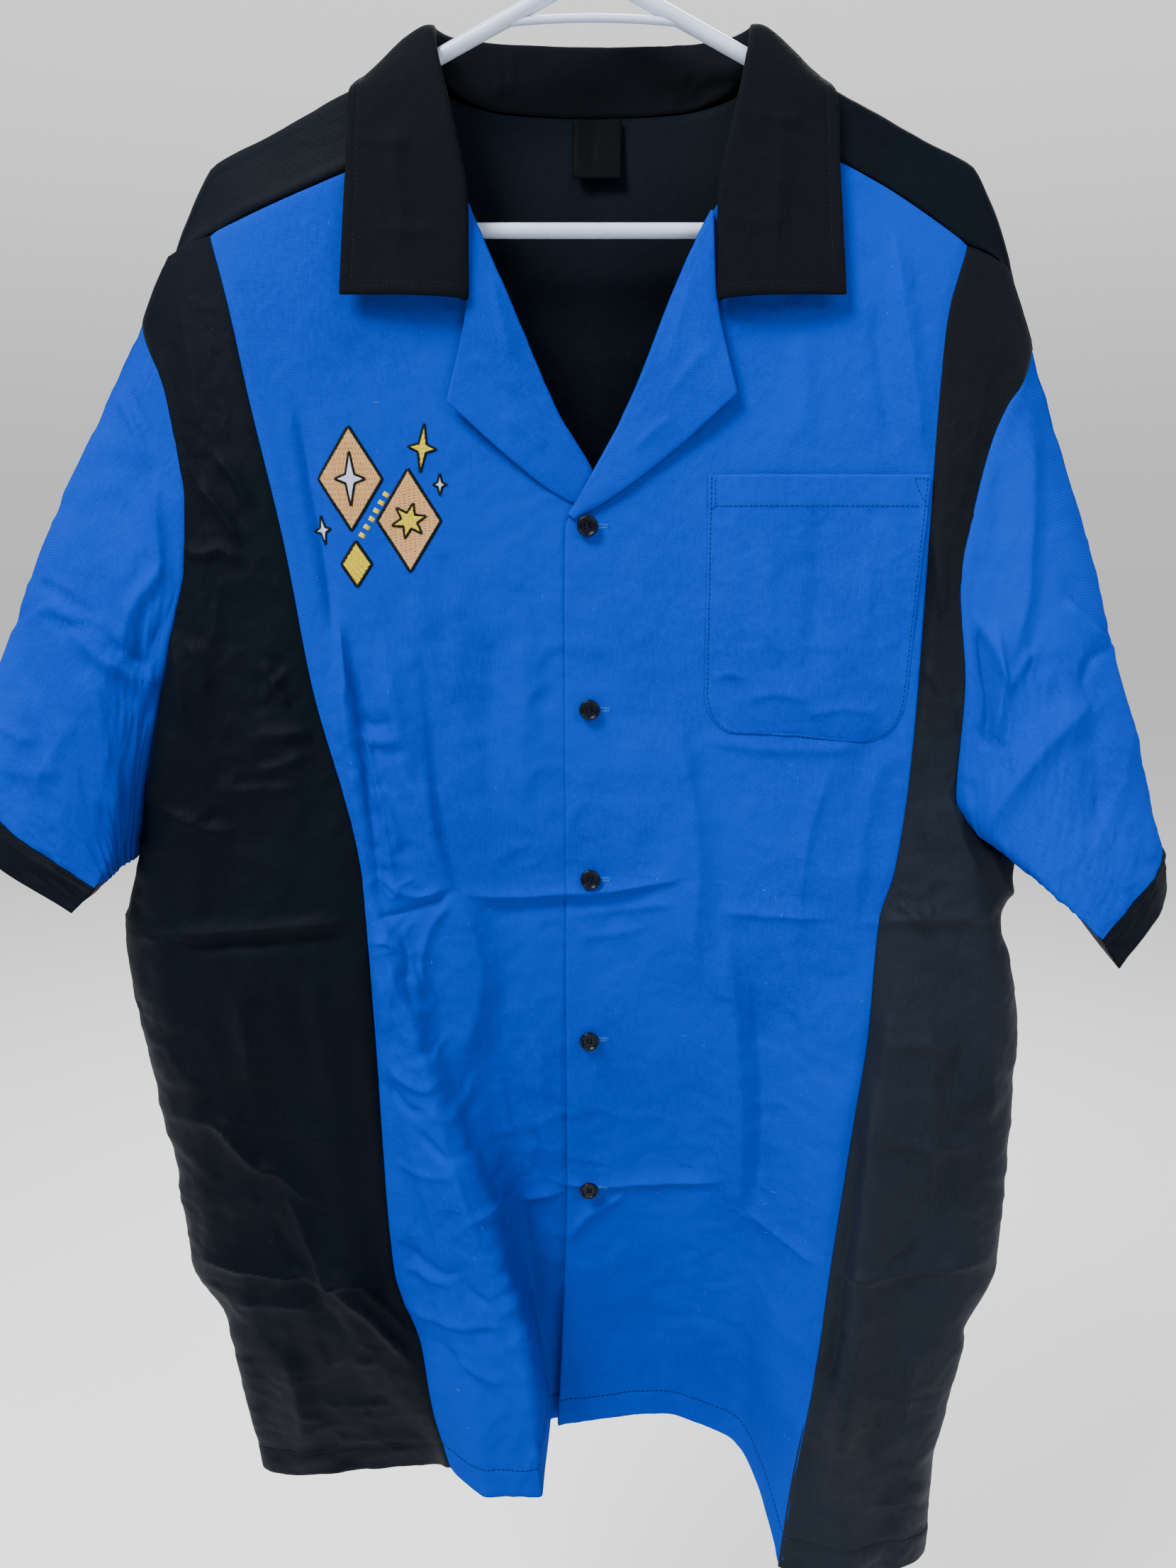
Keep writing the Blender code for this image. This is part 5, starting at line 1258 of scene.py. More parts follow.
def sleeve_field(side, p, n, turns, ws):
    u, v = seen(p)
    front_on = smooth((0.25 - n[..., 1]) / 0.5)
    h = 2.3 * creases(u, v, SLEEVE_CREASES[side]) * front_on
    # hidden side: folds that fan out from the armhole
    t = np.broadcast_to(turns[None], h.shape)
    w = np.broadcast_to(ws[:, None], h.shape)
    fan = creases(t * 460.0, w * 300.0, [
        (1.8, 10, 14, 0.6, [(300, 10), (312, 110), (330, 220)]),
        (1.7, 10, 13, 0.6, [(350, 20), (352, 140), (364, 260)]),
        (1.5, 9, 12, 0.7, [(395, 10), (388, 120), (400, 220)]),
        (1.5, 8, 10, 0.75, [(270, 60), (320, 96), (372, 100)]),
        (1.3, 8, 10, 0.75, [(290, 170), (340, 190), (396, 180)])])
    h += fan * (1 - front_on)
    # true lengths round the sleeve, so that nothing bunches where it is folded flat
    go = np.linalg.norm(np.diff(np.concatenate((p, p[:, :1]), axis=1), axis=1), axis=-1)
    ang = (np.cumsum(go, axis=1) - go) / go.sum(axis=1, keepdims=True) * 2 * math.pi
    cx, cy = 72 * np.cos(ang), 72 * np.sin(ang)
    h += 1.3 * layered(cx / 34 + 3 * side, cy / 34 + w * 1.7, 201, 2)
    h += 1.3 * rumple(cx / 26 + 7 * side, cy / 26 + w * 10.5, 211)
    h += 0.5 * rumple(cx / 12 + side, cy / 12 + w * 22, 221)
    return h


def build_sleeve(side, tag):
    turns = np.arange(176) / 176.0
    ws = np.concatenate(([-0.022, -0.011], np.linspace(0, 1, 115)))
    base = sleeve(side, turns, ws)
    n = normals(base, wrap=True)
    mid = (base[:, :88] + base[:, 88:]) / 2
    mid = np.concatenate((mid, mid), axis=1)
    if np.sum(n * (base - mid)) < 0:
        n = -n
    h = sleeve_field(side, base, n, turns, ws)
    start = np.linalg.norm(base - base[0][None], axis=-1)
    end = np.linalg.norm(base - base[-1][None], axis=-1)
    h = h * smooth(start / 16)
    h += -0.9 - 0.6 * np.exp(-(start / 2.0) ** 2) + 0.7 * np.exp(-((start - 5) / 5.0) ** 2) * (0.4 + 0.6 * np.abs(np.cos(turns * math.pi)))[None]
    h += -0.7 * np.exp(-(end / 2.5) ** 2)
    ob, skin = sewn("sleeve_" + tag + "_cloth", base, n, h, BLUE, wrap=True)
    made["sleeve_" + tag] = ob
    skins["sleeve_" + tag] = skin
    # band: folded double, stitched on over the sleeve's end
    wb = np.linspace(1.0, 2.0, 17)
    band = sleeve(side, turns, wb)
    nb = normals(band, wrap=True)
    if np.sum(nb[8] * n[-1]) < 0:
        nb = -nb
    hb = sleeve_field(side, band, nb, turns, wb)
    a = np.linalg.norm(band - band[0][None], axis=-1)
    b = np.linalg.norm(band - band[-1][None], axis=-1)
    hb = hb * (0.2 + 0.5 * smooth(1 - a / 20)) - 0.4
    hb += -0.35 * np.exp(-(a / 1.5) ** 2) - 0.25 * np.exp(-((a - 3.0) / 0.8) ** 2)
    ob, skin = sewn("cuff_" + tag + "_cloth", band, nb, hb, BLACK, 1.4, wrap=True)
    made["cuff_" + tag] = ob
    skins["cuff_" + tag] = skin


for side, tag in ((-1, "right"), (1, "left")):
    build_sleeve(side, tag)

# ---- collar and lapels -----------------------------------------------------------------
COLLAR_CREASES = [
    (0.9, 7, 9, 0.7, [(716, 70), (722, 100), (718, 138)]),
    (0.8, 7, 9, 0.6, [(690, 80), (704, 110), (700, 142)]),
    (0.9, 7, 9, 0.7, [(960, 146), (990, 118), (1020, 104)]),
    (0.9, 7, 9, 0.7, [(985, 152), (1016, 132), (1045, 122)]),
    (0.8, 7, 9, 0.6, [(940, 160), (960, 128), (974, 96)]),
    (1.0, 14, 18, 0.4, [(560, 150), (556, 220), (566, 300), (560, 390)]),
    (0.8, 9, 12, 0.5, [(500, 190), (540, 204), (590, 196)]),
    (0.8, 9, 12, 0.5, [(1060, 150), (1100, 170), (1140, 168)]),
    (1.0, 14, 18, 0.4, [(1096, 150), (1102, 240), (1092, 330), (1100, 400)]),
    (0.7, 10, 12, 0.4, [(1020, 300), (1060, 316), (1120, 312)]),
    (0.7, 10, 12, 0.4, [(520, 320), (570, 330), (630, 322)]),
]


def build_collar():
    ss = np.linspace(0, 1, 281)
    cs = np.concatenate((np.linspace(0, 0.34, 19)[:-1], np.linspace(0.34, 0.46, 15)[:-1], np.linspace(0.46, 1, 47)))
    base = collar(ss, cs)
    n = normals(base)
    if np.sum(n[:, -20:] * (base[:, -20:] - np.array((0, 0, -150)))) < 0:
        n = -n
    u, v = seen(base)
    front_on = smooth((0.2 - n[..., 1]) / 0.4)
    h = 1.6 * creases(u, v, COLLAR_CREASES) * np.where(front_on > 0.01, front_on, 0)
    d = np.cumsum(np.concatenate(([0], np.linalg.norm(np.diff(base[:, -10], axis=0), axis=1))))
    w = np.concatenate(([0], np.cumsum(np.linalg.norm(np.diff(base[140], axis=0), axis=1))))
    dd, ww = np.meshgrid(d, w, indexing="ij")
    h += 0.45 * layered(dd / 34, ww / 26, 301, 2) + 0.22 * rumple(dd / 15, ww / 13, 311)
    # the front ends stand off the shirt in their middle
    leaf = smooth((cs - 0.5) / 0.1) * smooth((1.02 - cs) / 0.2)
    end = np.minimum(np.linalg.norm(base - base[0][None], axis=-1), np.linalg.norm(base - base[-1][None], axis=-1))
    bow = np.sin(math.pi * np.clip((cs - 0.46) / 0.54, 0, 1))
    h += 3.2 * np.exp(-(end / 26) ** 2) * bow[None]
    # stitched edge: pressed flat, a groove under the thread
    rim = np.minimum(np.linalg.norm(base - base[:, -1:], axis=-1), end)
    h += -0.30 * np.exp(-((rim - 6.0) / 0.9) ** 2) + 0.12 * smooth((5.4 - rim) / 1.0) - 0.25 * np.exp(-(rim / 0.8) ** 2)
    body = shell("collar_cloth", base, n, 0.65 + h, -0.65 + h, COLLAR_BLACK, lengths(base))
    made["collar"] = body
    top = base + n * (0.65 + h)[..., None]
    fine = normals(top)
    skins["collar"] = Skin(top, fine if np.sum(fine * n) > 0 else -fine)
    skins["collar"].rim = rim


LAPEL_CREASES = [
    (0.9, 10, 14, 0.5, [(690, 380), (706, 450), (724, 520)]),
    (0.8, 10, 14, 0.5, [(656, 500), (690, 520), (730, 560)]),
    (0.8, 9, 12, 0.6, [(700, 590), (730, 600), (770, 640)]),
    (0.9, 10, 14, 0.5, [(980, 380), (960, 450), (938, 520)]),
    (0.8, 9, 12, 0.5, [(1016, 480), (980, 510), (940, 560)]),
    (0.8, 9, 12, 0.6, [(960, 590), (930, 600), (890, 640)]),
]


def build_lapel(side, tag, rows):
    ss = np.linspace(0, 1, 91)
    cs = np.linspace(0, 1, 47)
    leaf = lapel(rows, ss, cs)
    roll, edge = leaf[:, 0], leaf[:, -1]
    out = edge - roll
    out[:, 1] = 0
    out = out / np.linalg.norm(out, axis=1, keepdims=True)
    # the front's own edge, behind the roll
    ts = np.linspace(0, 1, 600)
    own = front(side, [0.0], ts)[:, 0]
    z = own[::-1, 2]
    e = np.stack([np.interp(roll[:, 2], z, own[::-1, k]) for k in range(3)], -1)
    e[:, 1] = np.maximum(e[:, 1], roll[:, 1] + 1.6)
    mid, a = (roll + e) / 2, (roll - e) / 2
    r = np.linalg.norm(a, axis=1, keepdims=True)
    turn = np.linspace(math.pi, 0, 15)[:-1]
    arc = mid[:, None] + a[:, None] * np.cos(turn)[None, :, None] - (out * r)[:, None] * np.sin(turn)[None, :, None]
    base = np.concatenate((arc, leaf), axis=1)
    if base.shape[1] % 2 == 0:
        base = np.concatenate((base[:, :-1], (base[:, -2:-1] + base[:, -1:]) / 2, base[:, -1:]), axis=1)
    n = normals(base)
    if n[:, 20:, 1].mean() > 0:
        n = -n
    u, v = seen(base)
    h = 1.6 * creases(u, v, LAPEL_CREASES)
    x, z = base[..., 0], base[..., 2]
    h += 0.35 * layered(x / 20, z / 24, 401 + side, 2) + 0.22 * rumple(x / 12, z / 12, 411 + side)
    rim = np.linalg.norm(base - base[:, -1:], axis=-1)
    h += -0.3 * np.exp(-(rim / 1.0) ** 2)
    made["lapel_" + tag] = shell("lapel_%s_cloth" % tag, base, n, 0.6 + h, -0.5 + h, BLUE, lengths(base))
    top = base + n * (0.6 + h)[..., None]
    fine = normals(top)
    skins["lapel_" + tag] = Skin(top, fine if np.sum(fine * n) > 0 else -fine)


build_collar()
build_lapel(1, "left", LAPEL_L)
build_lapel(-1, "right", LAPEL_R)

# ---- pocket -------------------------------------------------------------------------------
LIFT = 1.6
FRONT_BASE = Skin(skins["front_left"].base, normals(skins["front_left"].base))


def pocket_xz(a, b):
    k = POCKET
    z = k["top"] + (k["bottom"] - k["top"]) * b
    right = k["right_top"] + (k["right_bottom"] - k["right_top"]) * b
    low = max(0.0, -z + k["bottom"] + k["corner"])
    pull = k["corner"] - math.sqrt(max(k["corner"] ** 2 - low ** 2, 0.0))
    x = k["left"] + pull * 0.75 + (right - k["left"] - pull * 1.65) * a
    return x, z - max(6.0 * (a - 0.25) * b, 0)


def build_pocket():
    aa = np.linspace(0, 1, 87)
    bb = np.concatenate((np.linspace(0, 0.83, 85)[:-1], 0.83 + 0.17 * np.sin(np.linspace(0, 1, 25) * math.pi / 2)))
    base = np.zeros((len(bb), len(aa), 3))
    n = np.zeros_like(base)
    for i, b in enumerate(bb):
        for j, a in enumerate(aa):
            x, z = pocket_xz(a, min(b, 0.9995))
            p, m = FRONT_BASE.hit(x, z)
            base[i, j], n[i, j] = p, m
    n = normals(base)
    if n[..., 1].mean() > 0:
        n = -n
    h = front_field(base)
    aa2, bb2 = np.meshgrid(aa, bb)
    side_d = np.minimum(np.linalg.norm(base - base[:, :1], axis=-1), np.linalg.norm(base - base[:, -1:], axis=-1))
    foot_d = np.linalg.norm(base - base[-1][None], axis=-1)
    rim = np.minimum(side_d, foot_d)
    top_d = np.linalg.norm(base - base[0][None], axis=-1)
    puff = 1.1 * smooth((rim - 3) / 14) + 1.0 * smooth(1 - top_d / 40) * smooth((side_d - 4) / 25)
    hem = 0.55 * smooth((17.6 - top_d) / 1.2)
    groove = -0.30 * np.exp(-((rim - 1.6) / 0.7) ** 2) * (top_d > 2) - 0.3 * np.exp(-((top_d - 16.2) / 0.8) ** 2)
    out = LIFT - 0.1 + h + puff + hem + groove + 0.2 * rumple(base[..., 0] / 12, base[..., 2] / 12, 77)
    made["pocket"] = shell("pocket_cloth", base, n, out, out - 0.7 - hem * 0.5, BLUE, lengths(base))
    top = base + n * out[..., None]
    fine = normals(top)
    skins["pocket"] = Skin(top, fine if fine[..., 1].mean() < 0 else -fine)


build_pocket()

# ---- neck label ------------------------------------------------------------------------------
def build_label():
    ia = np.linspace(0, 1, 19)
    ib = np.linspace(0, 1, 21)
    s = 0.5 + NECK_HALF * (LABEL["x"] + LABEL["width"] * (ia - 0.5)) / 100.0
    t = 0.001 + LABEL["height"] / 820.0 * ib
    base = back(s, t)
    base[..., 1] -= (LIFT + (1.0 + 2.6 * ib ** 2)[:, None] + 0.5 * np.sin(ia * math.pi)[None] * ib[:, None])
    n = normals(base)
    if n[..., 1].mean() > 0:
        n = -n
    a, b = np.meshgrid(ia, ib)
    h = 0.15 * layered(a * 3, b * 3, 501, 2)
    edge = np.minimum.reduce((a * 27, (1 - a) * 27, (1 - b) * 31))
    h = h - 0.2 * np.exp(-(edge / 0.7) ** 2)
    made["neck_label"] = shell("neck_label_cloth", base, n, 0.35 + h, -0.15 + h, SATIN, lengths(base))


build_label()


# ---- tubes: threads, fibres, the hanger ---------------------------------------------------
class Bundle:
    """Many small tubes gathered into one mesh."""

    def __init__(self):
        self.v, self.f, self.m, self.count = [], [], [], 0

    def tube(self, pts, radii, sides=6, mat=0, closed=False, flat=1.0, up=None):
        """A closed tube along the points, tapering to its radii; ends capped."""
        pts = np.asarray(pts, float)
        k = len(pts)
        if closed:
            tang = np.roll(pts, -1, axis=0) - np.roll(pts, 1, axis=0)
        else:
            tang = np.gradient(pts, axis=0)
        tang = tang / np.linalg.norm(tang, axis=1, keepdims=True)
        up = np.array((0, -1.0, 0)) if up is None else np.asarray(up, float)
        up = np.broadcast_to(up, pts.shape)
        a = np.cross(tang, up)
        size = np.linalg.norm(a, axis=1, keepdims=True)
        a = np.where(size > 1e-4, a / np.maximum(size, 1e-9), np.cross(tang, (0.3, 0.2, 0.9)))
        a = a / np.linalg.norm(a, axis=1, keepdims=True)
        b = np.cross(a, tang)
        q = np.arange(sides) / sides * 2 * math.pi
        r = np.broadcast_to(radii, (k,))
        ring_ = pts[:, None] + r[:, None, None] * (a[:, None] * np.cos(q)[None, :, None] + flat * b[:, None] * np.sin(q)[None, :, None])
        ids = self.count + np.arange(k * sides).reshape(k, sides)
        nxt = np.roll(ids, -1, axis=1)
        if closed:
            lo, hi, lo2, hi2 = ids, np.roll(ids, -1, axis=0), nxt, np.roll(nxt, -1, axis=0)
        else:
            lo, hi, lo2, hi2 = ids[:-1], ids[1:], nxt[:-1], nxt[1:]
        quads = np.stack((lo, lo2, hi2, hi), -1).reshape(-1, 4)
        self.v.append(ring_.reshape(-1, 3))
        self.count += k * sides
        self.f.append((quads, mat))
        if not closed:
            for end, loop, sign in ((pts[0], ids[0], -1), (pts[-1], ids[-1], 1)):
                tip = end + tang[0 if sign < 0 else -1] * sign * r[0 if sign < 0 else -1] * 0.6
                self.v.append(tip[None])
                c = self.count
                self.count += 1
                rolled = np.roll(loop, -1)
                tri = np.stack((np.full(sides, c), rolled, loop) if sign < 0 else (np.full(sides, c), loop, rolled), -1)
                self.f.append((tri, mat))

    def build(self, name, mats):
        quads = [(f, m) for f, m in self.f if f.shape[1] == 4]
        tris = [(f, m) for f, m in self.f if f.shape[1] == 3]
        groups, face_mats = [], []
        for part in (quads, tris):
            if part:
                groups.append(np.concatenate([f for f, _ in part]))
                face_mats += [np.full(len(f), m) for f, m in part]
        return mesh_object(name, np.concatenate(self.v), groups, None, mats, np.concatenate(face_mats))


def stitches(bundle, pts, nrm, mat=0, step=3.0, gap=0.5, r=0.24, seed=3, sides=6):
    """Lockstitches along a dense line on the cloth: each rises and dives at its ends."""
    g = np.random.default_rng(seed)
    pts, nrm = np.asarray(pts), np.asarray(nrm)
    k = np.concatenate(([0], np.cumsum(np.linalg.norm(np.diff(pts, axis=0), axis=1))))
    at = 0.0
    while at + step < k[-1]:
        a, b = at + gap / 2, at + step - gap / 2
        q = a + (b - a) * np.array((0, 0.2, 0.5, 0.8, 1.0))
        p = np.stack([np.interp(q, k, pts[:, i]) for i in range(3)], -1)
        m = np.stack([np.interp(q, k, nrm[:, i]) for i in range(3)], -1)
        m = m / np.linalg.norm(m, axis=1, keepdims=True)
        rise = np.array((-0.22, 0.02, 0.10, 0.02, -0.22)) + g.uniform(-0.03, 0.03)
        side = np.cross(m, np.gradient(p, axis=0))
        side = side / np.maximum(np.linalg.norm(side, axis=1, keepdims=True), 1e-9)
        p = p + m * rise[:, None] + side * g.uniform(-0.10, 0.10)
        bundle.tube(p, r * np.array((0.6, 0.95, 1.0, 0.95, 0.6)), sides=sides, mat=mat, up=m)
        at += step * g.uniform(0.94, 1.06)


def on_grid(skin, ij):
    ij = np.asarray(ij, float)
    k = np.concatenate(([0], np.cumsum(np.linalg.norm(np.diff(ij, axis=0), axis=1))))
    q = np.linspace(0, k[-1], max(8, int(k[-1] * 2)))
    return skin.at(np.interp(q, k, ij[:, 0]), np.interp(q, k, ij[:, 1]))


def on_cloth(skin, xz, dense=1.5):
    """Dense points and normals on a skin under a line of x, z."""
    xz = np.asarray(xz, float)
    k = np.concatenate(([0], np.cumsum(np.linalg.norm(np.diff(xz, axis=0), axis=1))))
    pts, nrm = [], []
    for q in np.arange(0, k[-1], dense):
        got = skin.hit(float(np.interp(q, k, xz[:, 0])), float(np.interp(q, k, xz[:, 1])))
        if got:
            pts.append(got[0])
            nrm.append(got[1])
    return np.array(pts), np.array(nrm)


def inner_line(skin, amount, edge):
    """A line of the skin's grid `amount` mm in from one of its edges."""
    p = skin.p
    if edge in ("left", "right"):
        q = p if edge == "left" else p[:, ::-1]
        d = np.concatenate((np.zeros((q.shape[0], 1)), np.cumsum(np.linalg.norm(np.diff(q, axis=1), axis=-1), axis=1)), axis=1)
        j = np.array([np.interp(amount, row, np.arange(len(row))) for row in d])
        i = np.arange(q.shape[0])
        return np.stack((i, j if edge == "left" else p.shape[1] - 1 - j), -1)
    q = p if edge == "top" else p[::-1]
    d = np.concatenate((np.zeros((1, q.shape[1])), np.cumsum(np.linalg.norm(np.diff(q, axis=0), axis=-1), axis=0)))
    i = np.array([np.interp(amount, d[:, c], np.arange(d.shape[0])) for c in range(q.shape[1])])
    j = np.arange(q.shape[1])
    return np.stack((i if edge == "top" else p.shape[0] - 1 - i, j), -1)


BUTTON_SPOTS = ((829, 742), (832, 1001), (833, 1240), (831.5, 1467), (831, 1676))


threads = {}


def sew(node, mats):
    threads[node] = Bundle()
    return threads[node], mats


def build_threads():
    out = {}

    def keep(node, bundle, mats):
        if bundle.count:
            out[node] = bundle.build(node + "_stitching", mats)

    # hems, fronts and flanks
    for tag in ("right", "left"):
        for part, mats in (("front_", [DARK_THREAD]), ("side_panel_", [BLACK_THREAD])):
            node = part + tag
            b = Bundle()
            stitches(b, *on_grid(skins[node], inner_line(skins[node], 20.0, "bottom")), step=3.1, r=0.26, seed=len(node))
            keep(node, b, mats)
    # back hem
    b = Bundle()
    stitches(b, *on_grid(skins["back"], inner_line(skins["back"], 20.0, "bottom")), step=3.2, r=0.26, seed=8)
    keep("back", b, [BLACK_THREAD])
    # collar: 6 mm in from its outer edge and its two ends
    b = Bundle()
    sk = skins["collar"]
    outer = inner_line(sk, 6.0, "right")
    i0 = inner_line(sk, 6.0, "top")
    i1 = inner_line(sk, 6.0, "bottom")
    last = sk.p.shape[1] - 1
    lo = np.interp(0, [0], [outer[4, 1]])
    outer = outer[(outer[:, 0] > i0[int(outer[2, 1]), 0]) & (outer[:, 0] < i1[int(outer[-3, 1]), 0])]
    stitches(b, *on_grid(sk, outer), step=2.6, gap=0.45, r=0.22, seed=11)
    for line, stop in ((i0, outer[0, 1]), (i1, outer[-1, 1])):
        line = line[(line[:, 1] > 36) & (line[:, 1] < stop)]
        stitches(b, *on_grid(sk, line), step=2.6, gap=0.45, r=0.22, seed=12)
    keep("collar", b, [BLACK_THREAD])
    # bands of the sleeves
    for tag in ("right", "left"):
        b = Bundle()
        sk = skins["cuff_" + tag]
        wide = Skin(np.concatenate((sk.p, sk.p[:, :1]), axis=1), np.concatenate((sk.n, sk.n[:, :1]), axis=1))
        line = inner_line(wide, 2.6, "top")
        stitches(b, *on_grid(wide, line), step=2.8, r=0.22, seed=14)
        keep("cuff_" + tag, b, [BLACK_THREAD])
    # pocket: both sides and foot, mouth hem, and its corners
    b = Bundle()
    sk = skins["pocket"]
    left, right, foot = (inner_line(sk, 1.5, e) for e in ("left", "right", "bottom"))
    low = sk.p.shape[0] - 9
    fi = foot[(foot[:, 1] > 3) & (foot[:, 1] < sk.p.shape[1] - 4)]
    ring_line = np.concatenate((left[left[:, 0] < low], fi, right[right[:, 0] < low][::-1]))
    stitches(b, *on_grid(sk, ring_line), step=2.7, gap=0.4, r=0.29, seed=15)
    hem = inner_line(sk, 16.2, "top")
    stitches(b, *on_grid(sk, hem[2:-2]), step=2.7, gap=0.4, r=0.29, seed=16)
    x0, z0 = pocket_xz(0, 0)
    x1, z1 = pocket_xz(1, 0)
    for line in ([(x0 + 3.6, z0 - 1.5), (x0 + 3.6, z0 - 17)], [(x0 + 1.2, z0 - 17), (x0 + 3.8, z0 - 17)],
                 [(x1 - 1.2, z1 - 17), (x1 - 9.5, z1 - 1.6)], [(x1 - 9.5, z1 - 1.6), (x1 - 1.4, z1 - 1.6)]):
        stitches(b, *on_cloth(sk, line, 0.8), step=2.3, gap=0.4, r=0.24, seed=17)
    keep("pocket", b, [BLUE_THREAD])
    # buttonholes, beside and under the buttons, with frayed thread
    b = Bundle()
    g = np.random.default_rng(19)
    for i in range(5):
        spot_ = skins["front_left"].met(*BUTTON_SPOTS[i])[0]
        middle, z = spot_[0], spot_[2] - 0.2
        for k in range(24):
            x = -0.4 + k * 0.44
            for dz in (0.75, -0.75):
                got = skins["front_left"].hit(middle + x + 1.0, z + dz)
                if not got:
                    continue
                p, m = got
                up_ = np.array((0, 0, 1.0))
                q = [p + up_ * d + m * h for d, h in ((-0.65, -0.1), (0, 0.14), (0.65, -0.1))]
                b.tube(q, [0.16, 0.2, 0.16], sides=5, mat=0, up=m)
        for k in range(9):
            got = skins["front_left"].hit(middle + 9.8 + g.uniform(-0.4, 1.0), z + g.uniform(-1.1, 1.1))
            p, m = got
            d = unit(np.array((g.uniform(0.6, 1), -g.uniform(0.1, 0.6), g.uniform(-0.7, 0.7))))
            w = np.cross(d, m)
            s_ = g.uniform(1.0, 2.3)
            b.tube([p, p + d * s_ * 0.5 + w * 0.2, p + d * s_ + m * 0.2], [0.10, 0.08, 0.05], sides=4, mat=0, up=m)
    keep("front_left_buttonholes", b, [PALE_THREAD])
    return out


def build_buttons():
    for i in range(5):
        p, n = skins["front_left"].met(*BUTTON_SPOTS[i])
        # the mean tilt of the cloth under the button
        around = [skins["front_left"].hit(p[0] + dx, p[2] + dz) for dx, dz in ((-5, 0), (5, 0), (0, -5), (0, 5))]
        n = unit(0.35 * unit(sum(a[1] for a in around if a) + n) + 0.65 * np.array((-0.02, -1.0, 0.03)))
        g = np.random.default_rng(60 + i)
        n = unit(n + np.array((g.uniform(-0.03, 0.03), 0, g.uniform(-0.05, 0.03))))
        r, t = BUTTON_R, 2.6
        rr = np.concatenate((np.linspace(0.0, 0.62, 24) * r, np.array((0.66, 0.70, 0.75, 0.80, 0.85, 0.90, 0.94, 0.97, 0.99, 1.0, 0.985, 0.93, 0.80, 0.6, 0.35)) * r))
        face = np.concatenate((np.full(24, 0.60), np.array((0.66, 0.78, 0.90, 0.97, 1.0, 0.985, 0.94, 0.86, 0.74, 0.56, 0.34, 0.16, 0.05, 0.0, 0.0)))) * t
        sides = 72
        q = np.arange(sides) / sides * 2 * math.pi + g.uniform(0, 1.5)
        verts, spin = [], g.uniform(-0.3, 0.3)
        holes = [(1.25 * math.cos(spin + math.pi / 4 + k * math.pi / 2), 1.25 * math.sin(spin + math.pi / 4 + k * math.pi / 2)) for k in range(4)]
        for k, (a, h) in enumerate(zip(rr[1:], face[1:])):
            x, y = a * np.cos(q), a * np.sin(q)
            d = np.full(sides, h)
            if k < 23:
                for hx, hy in holes:
                    d = d - 1.3 * smooth((0.78 - np.hypot(x - hx, y - hy)) / 0.22)
            verts.append(np.stack((x, y, d), -1))
        body = np.array(verts)
        rings = len(body)
        allv = np.concatenate((np.array([[0, 0, face[0]]]), body.reshape(-1, 3), np.array([[0, 0, 0.0]])))
        ids = 1 + np.arange(rings * sides).reshape(rings, sides)
        nxt = np.roll(ids, -1, axis=1)
        quads = np.stack((ids[:-1], nxt[:-1], nxt[1:], ids[1:]), -1).reshape(-1, 4)
        last = len(allv) - 1
        tris = np.concatenate((np.stack((np.zeros(sides, int), nxt[0], ids[0]), -1), np.stack((np.full(sides, last), ids[-1], nxt[-1]), -1)))
        zaxis = Vector(n)
        rot = np.array(zaxis.to_track_quat("Z", "Y").to_matrix())
        place = p + n * 1.3
        world = allv @ rot.T + place
        name = "button_%d" % (i + 1)
        ob = mesh_object(name + "_disc", world, [quads, tris], None, [HORN])
        turned_out(ob, 5, n)
        made[name] = ob
        b = Bundle()
        for pair in ((0, 1), (3, 2)):
            a, c = np.array((*holes[pair[0]], 0)), np.array((*holes[pair[1]], 0))
            for off in (-0.22, 0.0, 0.22):
                side = unit(np.cross(c - a, (0, 0, 1.0))) * off
                pts = [a + side + (0, 0, 0.2), a + side + (0, 0, 1.62), (a + c) / 2 + side + (0, 0, 1.95), c + side + (0, 0, 1.62), c + side + (0, 0, 0.2)]
                b.tube(np.array(pts) @ rot.T + place, 0.15, sides=6, up=n)
        # shank of thread that holds the button off the cloth
        for k in range(5):
            a = k * 1.256
            foot = np.array((0.55 * math.cos(a), 0.55 * math.sin(a), -3.2))
            b.tube(np.array((foot, foot * (0.8, 0.8, 0.4), foot * (1, 1, -0.1))) @ rot.T + place, 0.22, sides=6)
        threads_made[name] = b.build(name + "_thread", [DARK_THREAD])


threads_made = build_threads()
build_buttons()


